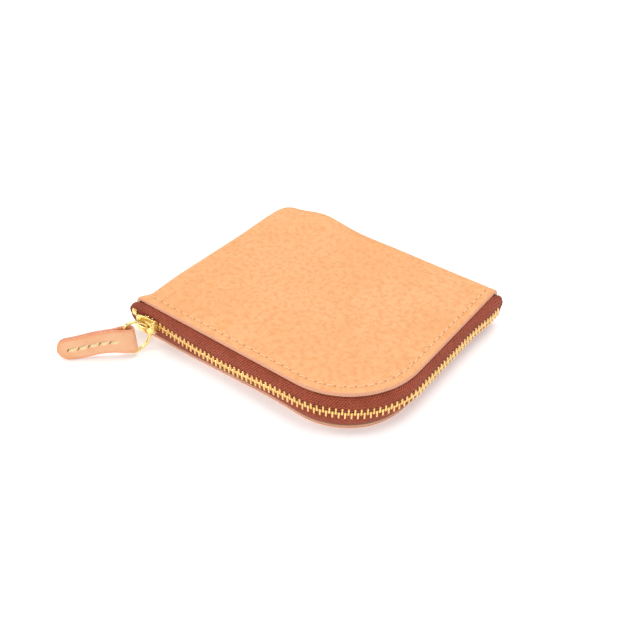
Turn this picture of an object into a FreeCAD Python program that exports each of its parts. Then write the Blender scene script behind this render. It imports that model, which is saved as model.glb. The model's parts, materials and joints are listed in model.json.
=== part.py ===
import FreeCAD, Part
import math
import os
import re

import Sketcher

# Zippered pouch of natural leather: two panels sewn together along the left and back
# sides, and a brass zip that runs along the front, round one corner and up the right side.
# Millimetres. +Z up, +Y to the back, origin under the middle of the body on its base.

DIMENSIONS = {
    "body_length": 104,        # along X, over the leather
    "body_depth": 85.5,        # along Y, over the leather
    "body_height": 16.5,       # over both panels
    "leather": 1.6,            # panel thickness
    "corner_zip": 28.5,        # corner that the zip goes round
    "corner_back": 9,          # sewn corner at the back left
    "side_round": 7,           # rounding of the two sewn sides
    "inner_round": 4.6,        # their rounding on the inside
    "seam_gap": 0.1,           # from the seam plane to each panel's turned edge
    "seam_allowance": 3.4,     # width of the turned-in edge inside the sewn sides
    "allowance_start": 4.75,   # length at the front of the left side with no turned-in edge
    "thread_width": 0.5,
    "stitch_pitch": 3.3,
    "stitch_run": 2.7,         # length of one stitch
    "stitch_inset": 3,         # from the cut edge of the leather
    "stitch_proud": 0.15,
    "tape": 0.6,               # tape thickness
    "tape_under": 7,           # tape sewn under the leather
    "tape_start": 7.5,         # bare panel at each end of the sewn tape
    "tape_tail": 0.8,          # tape end past the left side
    "tape_gap": 2.6,           # between the two tapes' corded edges
    "chain_out": 0.9,          # chain's middle, outside the leather's edge
    "chain_height": 8,
    "tooth_pitch": 2,
    "tooth_width": 0.9,        # along the chain
    "tooth_deep": 1.7,         # across the tape
    "tooth_reach": 1.1,        # past the middle of the chain
    "tooth_back": 2.3,         # from the middle of the chain to the tooth's back
    "first_tooth": 8.3,        # from the left side
    "last_tooth": 3.2,         # from the back side
    "stop_width": 1.8,         # end stops, along the chain
    "stop_reach": 3.1,         # top stops, from the middle of the chain
    "stop_grip": 0.5,          # and how far they stand past the tape's edge
    "top_stop_at": 0.4,        # from the left side
    "slider_from": 4,          # slider's left end, from the left side
    "slider_long": 9.8,
    "slider_wide": 6.3,        # across the chain
    "slider_plate": 0.8,
    "slider_clear": 0.15,      # to the teeth and the tape
    "slider_flange": 0.6,
    "nose_long": 2.45,         # tapered left end of its wings
    "nose_wide": 1.9,          # half width at that end
    "post_long": 2.3,
    "post_wide": 1.8,
    "bridge_low": 6.8,         # bridge's lower edge
    "bridge_wide": 2.8,
    "bridge_rise": 3.2,        # over the outer plate
    "bridge_slot": 2.45,       # clear rise under the bridge
    "bridge_from": 0.8,        # first foot, from the slider's left end
    "bridge_to": 9.7,          # end of the second foot
    "bridge_foot": 1.1,        # length of a foot
    "bridge_lean": 0.8,        # lean of the slot's two sides
    "bridge_shoulder": 1.6,    # lean of the outside
    "pivot_along": 10.8,       # ring's pivot, from the left side
    "pivot_out": 3.9,          # ring's pivot, in front of the leather's edge
    "wire": 0.6,               # ring wire, radius
    "ring_middle": 7.1,        # height of the ring's middle
    "ring_round": 6.4,         # rounded side of the ring, to the wire's middle
    "ring_deep": 8.8,          # pivot to the straight bar
    "ring_corner": 1.5,
    "ring_heading": 252,       # degrees, as it lies
    "tab_heading": 222,        # degrees, as it lies
    "tab_long": 24.7,          # straight bar to the tip
    "tab_thick": 2.8,          # two layers
    "fold_round": 2.3,         # outside of the fold
    "fold_hole": 0.9,          # inside of the fold, radius
    "fold_gap": 4.5,           # open wedge behind the bar
    "fold_low": 1.9,
    "fold_high": 12.5,
    "tab_low_from": 16,        # where the lower edge comes down to the surface
    "tab_high": 9.8,
    "tab_tip_round": 4.4,
    "tab_stitches": 6,
    "tab_stitch_from": 5,
    "tab_stitch_height": 6.2,
    "tab_stitch_run": 2.4,
}

doc = FreeCAD.newDocument("zippered_pouch")
sheet = doc.addObject("Spreadsheet::Sheet", "Sizes")
for row, (alias, number) in enumerate(DIMENSIONS.items(), start=1):
    sheet.set(f"A{row}", alias)
    sheet.set(f"B{row}", str(number))
    sheet.setAlias(f"B{row}", alias)
doc.recompute()


def formula(text):
    """A formula on the sheet's names, as other objects read it."""
    return re.sub(r"[a-z_]+", lambda word: "Sizes." + word.group(), text)


def size(text):
    """The value of a formula on the sheet's names."""
    found = sheet.evalExpression(formula(text))
    return float(getattr(found, "Value", found))


def new_body(label):
    body = doc.addObject("PartDesign::Body", label)
    body.Label = label
    return body


def sketch_on(body, name, plane, height=None):
    """A sketch on one of the body's own origin planes, moved along its normal."""
    sketch = body.newObject("Sketcher::SketchObject", f"{body.Name}_{name}")
    role = plane + "_Plane"
    support = next(f for f in body.Origin.OriginFeatures if f.Role == role)
    sketch.AttachmentSupport = [(support, "")]
    sketch.MapMode = "FlatFace"
    if height:
        sketch.setExpression("AttachmentOffset.Base.z", formula(height))
    return sketch


def bind(sketch, kind, where, text):
    """Add a dimension to a sketch and drive it from the sheet."""
    index = sketch.addConstraint(Sketcher.Constraint(kind, *where, size(text)))
    sketch.renameConstraint(index, f"size_{index}")
    sketch.setExpression(f"Constraints.size_{index}", formula(text))


def place_point(sketch, edge, end, across, up):
    """Fix one end of an edge, measured from the sketch's origin."""
    bind(sketch, "DistanceX", (-1, 1, edge, end), across)
    bind(sketch, "DistanceY", (-1, 1, edge, end), up)


def polygon(sketch, points):
    """A closed outline with sharp corners; each point is a pair of formulas."""
    places = [FreeCAD.Vector(size(across), size(up), 0) for across, up in points]
    edges = []
    for start, stop in zip(places, places[1:] + places[:1]):
        edges.append(sketch.addGeometry(Part.LineSegment(start, stop)))
    for edge, following in zip(edges, edges[1:] + edges[:1]):
        sketch.addConstraint(Sketcher.Constraint("Coincident", edge, 2, following, 1))
    for edge, (across, up) in zip(edges, points):
        place_point(sketch, edge, 1, across, up)


def rectangle(sketch, left, right, low, high):
    polygon(sketch, [(left, low), (right, low), (right, high), (left, high)])


def square_outline(sketch, corners, rounds):
    """A closed outline of level and upright lines; rounds gives some corners a radius."""
    places = [FreeCAD.Vector(size(across), size(up), 0) for across, up in corners]
    trims = [size(rounds[i]) if i in rounds else 0.0 for i in range(len(corners))]
    lines = []
    for i, start in enumerate(places):
        following = (i + 1) % len(places)
        along = (places[following] - start).normalize()
        finish = places[following] - along * trims[following]
        line = sketch.addGeometry(Part.LineSegment(start + along * trims[i], finish))
        level = abs(along.y) < 1e-9
        sketch.addConstraint(Sketcher.Constraint("Horizontal" if level else "Vertical", line))
        bind(sketch, "DistanceY" if level else "DistanceX", (-1, 1, line, 1), corners[i][level])
        lines.append(line)
    for i, corner in enumerate(places):
        before, after = lines[i - 1], lines[i]
        if i not in rounds:
            sketch.addConstraint(Sketcher.Constraint("Coincident", before, 2, after, 1))
            continue
        first = sketch.Geometry[before].EndPoint
        last = sketch.Geometry[after].StartPoint
        centre = first + last - corner
        middle = centre + (corner - centre).normalize() * trims[i]
        bend = sketch.addGeometry(Part.Arc(first, middle, last))
        clockwise = (corner - first).cross(last - corner).z < 0
        enter, leave = (2, 1) if clockwise else (1, 2)
        sketch.addConstraint(Sketcher.Constraint("Tangent", before, 2, bend, enter))
        sketch.addConstraint(Sketcher.Constraint("Tangent", bend, leave, after, 1))
        bind(sketch, "Radius", (bend,), rounds[i])


def circle(sketch, radius):
    """A circle round the sketch's origin."""
    ring = Part.Circle(FreeCAD.Vector(), FreeCAD.Vector(0, 0, 1), size(radius))
    edge = sketch.addGeometry(ring)
    sketch.addConstraint(Sketcher.Constraint("Coincident", edge, 3, -1, 1))
    bind(sketch, "Radius", (edge,), radius)


def pad(body, sketch, length, downward=False, midplane=False):
    feature = body.newObject("PartDesign::Pad", sketch.Name + "_pad")
    feature.Profile = (sketch, [""])
    feature.setExpression("Length", formula(length))
    feature.Reversed = downward
    feature.Midplane = midplane
    sketch.Visibility = False
    doc.recompute()
    return feature


def pocket(body, sketch, length, upward=False, midplane=False):
    feature = body.newObject("PartDesign::Pocket", sketch.Name + "_pocket")
    feature.Profile = (sketch, [""])
    feature.setExpression("Length", formula(length))
    feature.Reversed = upward
    feature.Midplane = midplane
    before = feature.BaseFeature.Shape.Volume
    doc.recompute()
    if feature.Shape.isNull() or feature.Shape.Volume > before - 1e-3:
        raise ValueError(f"{feature.Name} cuts nothing")
    return feature


def round_edges(body, feature, radius, wanted):
    """A fillet on the edges of the last feature that pass the test."""
    names = []
    for number, edge in enumerate(feature.Shape.Edges, start=1):
        if wanted(edge, edge.CenterOfMass):
            names.append(f"Edge{number}")
    if not names:
        raise ValueError(f"no edge to round on {feature.Name}")
    fillet = body.newObject("PartDesign::Fillet", feature.Name + "_round")
    fillet.Base = (feature, names)
    fillet.setExpression("Radius", formula(radius))
    doc.recompute()
    return fillet


LEFT = "-body_length / 2"
RIGHT = "body_length / 2"
FRONT = "-body_depth / 2"
BACK = "body_depth / 2"
SEAM = "body_height / 2"
WELL_CLEAR = "body_length"


def on_sewn_side(edge, at, height, inset):
    """True for an edge at this height along the left or back side, or round their corner."""
    level = edge.BoundBox.ZLength < 1e-6 and abs(at.z - height) < 1e-6
    across = at.x - size(LEFT) - inset
    deep = size(BACK) - inset - at.y
    corner = size("corner_back") / 2
    return level and (abs(across) < 0.1 or abs(deep) < 0.1 or max(across, deep) < corner)


def inset_outline(body, name, height, inset):
    """Sketch the inside of the sewn sides; the front and right sides are left open."""
    sketch = sketch_on(body, name, "XY", height)
    left, back = f"{LEFT} + {inset}", f"{BACK} - {inset}"
    front = "-" + WELL_CLEAR
    corners = [(left, front), (WELL_CLEAR, front), (WELL_CLEAR, back), (left, back)]
    square_outline(sketch, corners, {3: f"corner_back - {inset}"})
    return sketch


def make_panel(label, top):
    """One leather panel: a plate whose left and back sides turn to meet the other panel.

    Its front and right edges are cut edges, open to the zip."""
    sign = "+" if top else "-"
    outer_face = size("body_height") if top else 0.0
    inner_face = size("body_height - leather") if top else size("leather")

    body = new_body(label + "_outside")
    plate = sketch_on(body, "plate", "XY", f"{SEAM} {sign} seam_gap")
    square_outline(
        plate, [(LEFT, FRONT), (RIGHT, FRONT), (RIGHT, BACK), (LEFT, BACK)],
        {1: "corner_zip", 3: "corner_back"})
    shape = pad(body, plate, f"{SEAM} - seam_gap", downward=not top)
    round_edges(
        body, shape, "side_round",
        lambda edge, at: on_sewn_side(edge, at, outer_face, 0.0))
    mouth = inset_outline(body, "mouth", f"{SEAM} {sign} seam_gap", "(leather + seam_allowance)")
    pocket(body, mouth, "leather", upward=top)
    relief = sketch_on(body, "relief", "XY", f"{SEAM} {sign} seam_gap")
    rectangle(
        relief,
        f"{LEFT} + leather", f"{LEFT} + 2 * leather + seam_allowance",
        "-" + WELL_CLEAR, f"{FRONT} + allowance_start")
    pocket(body, relief, "leather", upward=top)

    core = new_body(label + "_inside")
    hollow = inset_outline(core, "hollow", f"{SEAM} {sign} (seam_gap + leather)", "leather")
    shape = pad(core, hollow, f"{SEAM} - seam_gap - 2 * leather", downward=not top)
    round_edges(
        core, shape, "inner_round",
        lambda edge, at: on_sewn_side(edge, at, inner_face, size("leather")))

    panel = doc.addObject("Part::Cut", label)
    panel.Label = label
    panel.Base = body
    panel.Tool = core
    doc.recompute()
    return panel


def strip_round_zip(body, name, height, inner, outer, start, stop):
    """Sketch the L-shaped strip between two offsets from the leather's cut edge."""
    strip = sketch_on(body, name, "XY", height)
    corners = [
        (start, f"{FRONT} - {outer}"),
        (f"{RIGHT} + {outer}", f"{FRONT} - {outer}"),
        (f"{RIGHT} + {outer}", stop),
        (f"{RIGHT} + {inner}", stop),
        (f"{RIGHT} + {inner}", f"{FRONT} - {inner}"),
        (start, f"{FRONT} - {inner}"),
    ]
    square_outline(strip, corners, {1: f"corner_zip + {outer}", 4: f"corner_zip + {inner}"})
    return strip


def make_tape(label, top):
    """One woven tape: sewn flat under a panel, then turned down to its half of the chain."""
    body = new_body(label)
    sign = "+" if top else "-"
    far_side = "body_height - leather" if top else "leather"
    inner = "(chain_out - tape / 2)"
    outer = "(chain_out + tape / 2)"
    reach = "(body_height - leather - chain_height - tape_gap / 2)"
    if not top:
        reach = "(chain_height - leather - tape_gap / 2)"
    start = f"{LEFT} - tape_tail"
    stop = f"{BACK} + tape_tail / 2"
    wall = strip_round_zip(
        body, "wall", f"chain_height {sign} tape_gap / 2", inner, outer, start, stop)
    pad(body, wall, reach, downward=not top)

    sewn = strip_round_zip(
        body, "sewn", far_side, "(-tape_under)", outer,
        f"{LEFT} + tape_start", f"{BACK} - tape_start")
    pad(body, sewn, "tape", downward=top)
    return body


def along_zip(offset, distance):
    """Place and heading on the line that runs round the zip sides, offset from the leather.

    distance is measured from the left side; the line goes along the front, round the
    corner and up the right side. Positive offsets lie outside the leather."""
    radius = size("corner_zip")
    straight = size("body_length") - radius
    bend = (radius + size("chain_out")) * math.pi / 2
    reach = radius + offset
    if distance <= straight:
        return size(LEFT) + distance, size(FRONT) - offset, 0.0
    centre_x = size(RIGHT) - radius
    centre_y = size(FRONT) + radius
    if distance <= straight + bend:
        angle = (distance - straight) / bend * math.pi / 2
        across = centre_x + reach * math.sin(angle)
        return across, centre_y - reach * math.cos(angle), math.degrees(angle)
    return size(RIGHT) + offset, centre_y + distance - straight - bend, 90.0


def zip_length():
    """Length of the chain's line from the left side to the back side."""
    straight = size("body_length + body_depth - 2 * corner_zip")
    return straight + size("corner_zip + chain_out") * math.pi / 2


def block(length, width, low, high, place):
    """A small block standing at a place on the zip's line, turned to its heading."""
    across, deep, heading = place
    solid = Part.makeBox(length, width, high - low, FreeCAD.Vector(-length / 2, -width / 2, low))
    solid.rotate(FreeCAD.Vector(), FreeCAD.Vector(0, 0, 1), heading)
    solid.translate(FreeCAD.Vector(across, deep, 0))
    return solid


def group(label, solids):
    """Many like solids as one sub-part; its sizes come from the sheet in code."""
    feature = doc.addObject("Part::Feature", label)
    feature.Label = label
    feature.Shape = Part.makeCompound(solids)
    feature.Placement = FreeCAD.Placement()
    return feature


def make_teeth(label, top):
    """One row of brass teeth; the two rows stand half a pitch apart and interlock."""
    pitch = size("tooth_pitch")
    middle = size("chain_height")
    low = middle - size("tooth_reach" if top else "tooth_back")
    high = middle + size("tooth_back" if top else "tooth_reach")
    distance = size("first_tooth") + (0 if top else pitch / 2)
    teeth = []
    while distance < zip_length() - size("last_tooth"):
        place = along_zip(size("chain_out"), distance)
        teeth.append(block(size("tooth_width"), size("tooth_deep"), low, high, place))
        distance += pitch
    return group(label, teeth)


def make_edge_thread(label, top):
    """The visible stitches that hold one panel to its tape, as a group of short solids."""
    if top:
        low = size("body_height - leather - tape")
        high = size("body_height + stitch_proud")
    else:
        low = size("stitch_proud / 2")
        high = size("leather + tape")
    pitch = size("stitch_pitch")
    distance = size("tape_start") + pitch / 2
    stitches = []
    while distance < zip_length() - size("tape_start"):
        place = along_zip(-size("stitch_inset"), distance)
        stitches.append(block(size("stitch_run"), size("thread_width"), low, high, place))
        distance += pitch
    return group(label, stitches)


def make_seam_thread():
    """The hidden stitches that join the two turned-in edges, left side and back side."""
    inset = size("leather + seam_allowance / 2")
    pitch = size("stitch_pitch")
    length = size("2 * leather + 2 * seam_gap")
    low = size(f"{SEAM} - leather - seam_gap")
    places = []
    deep = size(f"{FRONT} + allowance_start") + pitch
    while deep < size(f"{BACK} - corner_back"):
        places.append((size(LEFT) + inset, deep))
        deep += pitch
    across = size(f"{LEFT} + corner_back")
    while across < size(f"{RIGHT} - tape_start"):
        places.append((across, size(BACK) - inset))
        across += pitch
    radius = size("thread_width / 2")
    up = FreeCAD.Vector(0, 0, 1)
    stitches = []
    for across, deep in places:
        stitches.append(Part.makeCylinder(radius, length, FreeCAD.Vector(across, deep, low), up))
    return group("seam_thread", stitches)


def make_stop(label, distance, low, high):
    """A brass end stop clamped over the corded edge of the tape."""
    stop = doc.addObject("Part::Box", label)
    stop.Label = label
    stop.setExpression("Length", formula("stop_width"))
    stop.setExpression("Width", formula("tooth_deep"))
    stop.setExpression("Height", formula(f"({high}) - ({low})"))
    across, deep, heading = along_zip(size("chain_out"), distance)
    turn = FreeCAD.Rotation(FreeCAD.Vector(0, 0, 1), heading)
    corner = FreeCAD.Vector(-size("stop_width / 2"), -size("tooth_deep / 2"), size(low))
    place = FreeCAD.Vector(across, deep, 0)
    stop.Placement = FreeCAD.Placement(place + turn.multVec(corner), turn)
    return stop


def make_slider():
    """The cast slider: two plates joined by a post, folded edges, and the bridge.

    Its own frame is the middle of the chain at the slider's left end; +X along the
    zip, -Y outward."""
    body = new_body("slider")
    half_deep = "(tooth_deep / 2 + slider_clear)"
    half_wide = "slider_wide / 2"
    for name, face in (("outer", half_deep), ("inner", f"-({half_deep} + slider_plate)")):
        plate = sketch_on(body, name, "XZ", face)
        polygon(plate, [
            ("0", "-nose_wide"),
            ("nose_long", f"-{half_wide}"),
            ("slider_long", f"-{half_wide}"),
            ("slider_long", half_wide),
            ("nose_long", half_wide),
            ("0", "nose_wide"),
        ])
        pad(body, plate, "slider_plate")
        if name == "outer":
            post = sketch_on(body, "post", "XZ", f"-({half_deep} + slider_plate / 2)")
            polygon(post, [
                ("slider_plate", "0"),
                ("slider_plate + post_long / 2", "-post_wide / 2"),
                ("slider_plate + post_long", "0"),
                ("slider_plate + post_long / 2", "post_wide / 2"),
            ])
            pad(body, post, f"2 * {half_deep} + slider_plate")
    fold = f"({half_deep} - tape / 2 - slider_clear)"
    for side, low in (("upper", f"{half_wide} - slider_flange"), ("lower", f"-{half_wide}")):
        for name, face in (("out", "tape / 2 + slider_clear"), ("in", f"-({half_deep})")):
            flange = sketch_on(body, f"{side}_{name}", "XZ", face)
            rectangle(flange, "nose_long", "slider_long", low, f"{low} + slider_flange")
            pad(body, flange, fold)

    bridge = sketch_on(body, "bridge", "XY", "bridge_low - chain_height")
    face = f"-({half_deep} + slider_plate / 2)"
    crown = f"-({half_deep} + slider_plate + bridge_rise)"
    under = f"-({half_deep} + slider_plate + bridge_slot)"
    polygon(bridge, [
        ("bridge_from", face),
        ("bridge_from + bridge_foot", face),
        ("bridge_from + bridge_foot + bridge_lean", under),
        ("bridge_to - bridge_foot - bridge_lean", under),
        ("bridge_to - bridge_foot", face),
        ("bridge_to", face),
        ("bridge_to - bridge_shoulder", crown),
        ("bridge_from + bridge_shoulder", crown),
    ])
    pad(body, bridge, "bridge_wide")
    body.Placement.Base = FreeCAD.Vector(
        size(f"{LEFT} + slider_from"), size(f"{FRONT} - chain_out"), size("chain_height"))
    return body


def make_ring():
    """A D-shaped wire ring; its frame is the pivot under the bridge, +X to the straight bar."""
    body = new_body("pull_ring")
    middle = size("ring_middle")
    round_side = size("ring_round")
    corner = size("ring_corner")
    deep = size("ring_deep")
    route = sketch_on(body, "route", "XZ")
    level = FreeCAD.Vector(0, 0, 1)

    def bend(centre_x, centre_z, radius, start, stop):
        """An arc from start to stop, in degrees anticlockwise."""
        curve = Part.Circle(FreeCAD.Vector(centre_x, centre_z, 0), level, radius)
        return route.addGeometry(Part.ArcOfCircle(curve, math.radians(start), math.radians(stop)))

    def run(x_from, z_from, x_to, z_to):
        start = FreeCAD.Vector(x_from, z_from, 0)
        return route.addGeometry(Part.LineSegment(start, FreeCAD.Vector(x_to, z_to, 0)))

    top = middle + round_side
    low = middle - round_side
    edges = [
        (bend(round_side, middle, round_side, 180, 270), 1, 2),
        (run(round_side, low, deep - corner, low), 1, 2),
        (bend(deep - corner, low + corner, corner, 270, 360), 1, 2),
        (run(deep, low + corner, deep, top - corner), 1, 2),
        (bend(deep - corner, top - corner, corner, 0, 90), 1, 2),
        (run(deep - corner, top, round_side, top), 1, 2),
        (bend(round_side, middle, round_side, 90, 180), 1, 2),
    ]
    for (edge, _, leave), (following, enter, _) in zip(edges, edges[1:]):
        route.addConstraint(Sketcher.Constraint("Tangent", edge, leave, following, enter))
    route.addConstraint(Sketcher.Constraint("Coincident", edges[-1][0], 2, edges[0][0], 1))
    route.addConstraint(Sketcher.Constraint("Vertical", edges[3][0]))
    bind(route, "Radius", (edges[0][0],), "ring_round")
    bind(route, "Radius", (edges[-1][0],), "ring_round")
    bind(route, "Radius", (edges[2][0],), "ring_corner")
    bind(route, "Radius", (edges[4][0],), "ring_corner")
    bind(route, "DistanceX", (-1, 1, edges[3][0], 1), "ring_deep")
    place_point(route, edges[0][0], 3, "ring_round", "ring_middle")

    wire = sketch_on(body, "wire", "XY", "ring_middle")
    circle(wire, "wire")
    bar = body.newObject("PartDesign::AdditivePipe", "pull_ring_wire")
    bar.Profile = (wire, [""])
    bar.Spine = (route, [f"Edge{number + 1}" for number in range(len(edges))])
    doc.recompute()
    across, deep_at = size(f"{LEFT} + pivot_along"), size(f"{FRONT} - pivot_out")
    turn = FreeCAD.Rotation(level, size("ring_heading"))
    body.Placement = FreeCAD.Placement(FreeCAD.Vector(across, deep_at, 0), turn)
    return body


def tab_place():
    """Where the ring's straight bar stands, and the way the tab lies from it."""
    heading = math.radians(size("ring_heading"))
    across = size(f"{LEFT} + pivot_along") + size("ring_deep") * math.cos(heading)
    deep = size(f"{FRONT} - pivot_out") + size("ring_deep") * math.sin(heading)
    turn = FreeCAD.Rotation(FreeCAD.Vector(0, 0, 1), size("tab_heading"))
    return FreeCAD.Placement(FreeCAD.Vector(across, deep, 0), turn)


def make_tab():
    """The leather pull: a strip folded round the ring's bar and sewn to itself.

    Its own frame stands on the bar, +X to the tip."""
    body = new_body("pull_tab")
    tall = "(fold_high + 1)"
    fold = sketch_on(body, "fold", "XY")
    circle(fold, "fold_round")
    pad(body, fold, tall)
    strip = sketch_on(body, "strip", "XY")
    polygon(strip, [
        ("0", "-fold_round"), ("fold_gap", "-tab_thick / 2"), ("tab_long", "-tab_thick / 2"),
        ("tab_long", "tab_thick / 2"), ("fold_gap", "tab_thick / 2"), ("0", "fold_round"),
    ])
    pad(body, strip, tall)
    loop = sketch_on(body, "loop", "XY")
    circle(loop, "fold_hole")
    pocket(body, loop, tall, upward=True)
    gap = sketch_on(body, "gap", "XY")
    polygon(gap, [
        ("0", "-fold_hole"), ("fold_gap", "-tape / 2"),
        ("fold_gap", "tape / 2"), ("0", "fold_hole"),
    ])
    pocket(body, gap, tall, upward=True)

    side = sketch_on(body, "side", "XZ")
    rectangle(side, "-tab_long", "2 * tab_long", "-tab_long", "2 * tab_long")
    polygon(side, [
        ("-tab_thick", "fold_low"), ("tab_thick", "fold_low"), ("tab_low_from", "0"), ("tab_long", "0"),
        ("tab_long", "tab_high"), ("tab_low_from", "tab_high"), ("tab_thick", "fold_high"),
        ("-tab_thick", "fold_high"),
    ])
    shape = pocket(body, side, "4 * fold_round", midplane=True)
    tip = size("tab_long")
    round_edges(
        body, shape, "tab_tip_round",
        lambda edge, at: abs(at.x - tip) < 1e-6 and edge.BoundBox.YLength > size("tab_thick") - 0.1)
    body.Placement = tab_place()
    return body


def make_tab_thread():
    """Thick stitches through both layers, along the middle of the tab."""
    pitch = size("(tab_long - tab_stitch_from - tab_tip_round / 2) / tab_stitches")
    depth = size("tab_thick + 2 * stitch_proud")
    width = size("2 * thread_width")
    stitches = []
    for number in range(int(size("tab_stitches"))):
        corner = FreeCAD.Vector(
            size("tab_stitch_from") + number * pitch, -depth / 2, size("tab_stitch_height") - width / 2)
        stitches.append(Part.makeBox(size("tab_stitch_run"), depth, width, corner))
    thread = group("pull_tab_thread", stitches)
    thread.Placement = tab_place()
    return thread


parts = []
for side_name, top in (("upper", True), ("lower", False)):
    parts.append(make_panel(f"{side_name}_panel", top))
    parts.append(make_tape(f"zip_tape_{side_name}", top))
    parts.append(make_teeth(f"zip_teeth_{side_name}", top))
    parts.append(make_edge_thread(f"edge_thread_{side_name}", top))
parts.append(make_seam_thread())
parts.append(make_stop(
    "top_stop_upper", size("top_stop_at"),
    "chain_height + tape_gap / 2 - stop_grip", "chain_height + stop_reach"))
parts.append(make_stop(
    "top_stop_lower", size("top_stop_at"),
    "chain_height - stop_reach", "chain_height - tape_gap / 2 + stop_grip"))
parts.append(make_stop(
    "bottom_stop", zip_length() - size("stop_width"),
    "chain_height - tooth_back", "chain_height + tooth_back"))
parts.append(make_slider())
parts.append(make_ring())
parts.append(make_tab())
parts.append(make_tab_thread())
doc.recompute()

for thing in doc.Objects:
    if "Invalid" in thing.State or "Error" in thing.State:
        raise ValueError(f"{thing.Label} failed: {thing.State}")
os.makedirs("parts", exist_ok=True)
for part in parts:
    shape = part.Shape
    if shape.isNull() or not shape.isValid():
        raise ValueError(f"{part.Label} has no valid shape")
    print(part.Label, len(shape.Solids), "solids", shape.BoundBox)
    shape.exportStep(f"parts/{part.Label}.step")
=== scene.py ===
import json
import math

import bmesh
import bpy
import numpy as np
from mathutils import Euler, Matrix, Vector
from mathutils.geometry import delaunay_2d_cdt


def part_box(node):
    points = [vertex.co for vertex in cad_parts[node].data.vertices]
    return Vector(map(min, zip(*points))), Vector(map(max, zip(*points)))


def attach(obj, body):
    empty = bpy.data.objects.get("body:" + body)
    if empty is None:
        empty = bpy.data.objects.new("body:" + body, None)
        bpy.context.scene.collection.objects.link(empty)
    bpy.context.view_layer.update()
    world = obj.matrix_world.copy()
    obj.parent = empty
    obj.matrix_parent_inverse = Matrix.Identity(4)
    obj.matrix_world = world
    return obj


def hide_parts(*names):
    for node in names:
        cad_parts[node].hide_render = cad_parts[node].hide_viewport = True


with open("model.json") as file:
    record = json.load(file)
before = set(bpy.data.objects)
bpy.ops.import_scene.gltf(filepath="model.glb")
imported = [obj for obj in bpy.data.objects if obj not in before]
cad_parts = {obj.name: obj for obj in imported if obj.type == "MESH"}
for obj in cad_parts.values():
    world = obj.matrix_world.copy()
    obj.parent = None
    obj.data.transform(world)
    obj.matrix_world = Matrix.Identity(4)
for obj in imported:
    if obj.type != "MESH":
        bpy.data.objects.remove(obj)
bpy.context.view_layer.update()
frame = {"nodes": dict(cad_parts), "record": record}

MM = 0.001

# ---------------------------------------------------------------- sizes from the frame
panel_low, panel_high = (np.array(corner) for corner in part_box("upper_panel"))
joint = {j["name"]: j for j in frame["record"]["behaviour"]["joints"]}
LEFT, FRONT, TOP = panel_low[0], panel_low[1], panel_high[2]
RIGHT, BACK = panel_high[0], panel_high[1]

LEATHER = 1.4 * MM
ZIP_CORNER = 28.5 * MM        # corner that the zip goes round
BACK_CORNER = 9 * MM
END_CORNER = 1.3 * MM         # where the cut edges curl down into the sewn sides
SIDE_ROUND = 7 * MM           # rounding of the left side
BACK_ROUND = 4.2 * MM         # and of the back
DROOP = 2.5 * MM              # wider rounding at the front of the left side
NOSE = 5.8 * MM               # tighter again where it meets the cut edge
DROOP_LONG = 20 * MM          # both fade out over these lengths
NOSE_LONG = 7 * MM
CHAIN_OUT = 0.9 * MM
CHAIN_HEIGHT = 8 * MM
TOOTH_PITCH = 2 * MM
FIRST_TOOTH = 8.3 * MM        # from the left side
LAST_TOOTH = 3.2 * MM         # from the back
STITCH_PITCH = 3.3 * MM
STITCH_INSET = 3 * MM
STITCH_START = 5 * MM
TAPE = 0.6 * MM


# ---------------------------------------------------------------- mesh helpers
def new_piece(name, points, faces, material):
    """A mesh object from points and faces, at the origin."""
    mesh = bpy.data.meshes.new(name)
    mesh.from_pydata([tuple(p) for p in points], [], [tuple(f) for f in faces])
    mesh.validate()
    mesh.materials.append(material)
    mesh.polygons.foreach_set("use_smooth", [True] * len(mesh.polygons))
    mesh.update()
    piece = bpy.data.objects.new(name, mesh)
    bpy.context.scene.collection.objects.link(piece)
    return piece


def add_layer(piece, name, pairs):
    """A UV layer whose values belong to the mesh's points."""
    layer = piece.data.uv_layers.new(name=name)
    loops = np.empty(len(piece.data.loops), dtype=np.int32)
    piece.data.loops.foreach_get("vertex_index", loops)
    layer.data.foreach_set("uv", np.asarray(pairs, dtype=np.float32)[loops].ravel())


def strip_faces(first, second):
    """Quads between two closed loops of the same length."""
    count = len(first)
    return [(first[i], first[(i + 1) % count], second[(i + 1) % count], second[i])
            for i in range(count)]


def sweep(name, sections, material, closed=False, layer=None, uvs=None):
    """Join like sections into a tube; open tubes get end caps."""
    count = len(sections[0])
    points = [p for section in sections for p in section]
    loops = [list(range(k * count, (k + 1) * count)) for k in range(len(sections))]
    faces = []
    for k in range(len(loops) - 1):
        faces += strip_faces(loops[k], loops[k + 1])
    if closed:
        faces += strip_faces(loops[-1], loops[0])
    else:
        faces.append(tuple(reversed(loops[0])))
        faces.append(tuple(loops[-1]))
    piece = new_piece(name, points, faces, material)
    if layer:
        add_layer(piece, layer, uvs)
    return piece


def recalculate(piece):
    """Merge doubles and turn every face outward."""
    work = bmesh.new()
    work.from_mesh(piece.data)
    bmesh.ops.remove_doubles(work, verts=work.verts, dist=1e-7)
    bmesh.ops.recalc_face_normals(work, faces=work.faces)
    work.to_mesh(piece.data)
    work.free()
    piece.data.update()
    return piece


def apply_modifiers(piece):
    """Turn the piece's live modifiers into plain mesh."""
    graph = bpy.context.evaluated_depsgraph_get()
    mesh = bpy.data.meshes.new_from_object(piece.evaluated_get(graph))
    old = piece.data
    piece.modifiers.clear()
    piece.data = mesh
    bpy.data.meshes.remove(old)
    return piece


def soften(piece, width):
    """Round the sharp edges."""
    bevel = piece.modifiers.new("edges", "BEVEL")
    bevel.width = width
    bevel.segments = 3
    bevel.limit_method = "ANGLE"
    bevel.angle_limit = math.radians(35)
    bevel.use_clamp_overlap = True
    return apply_modifiers(piece)


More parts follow.
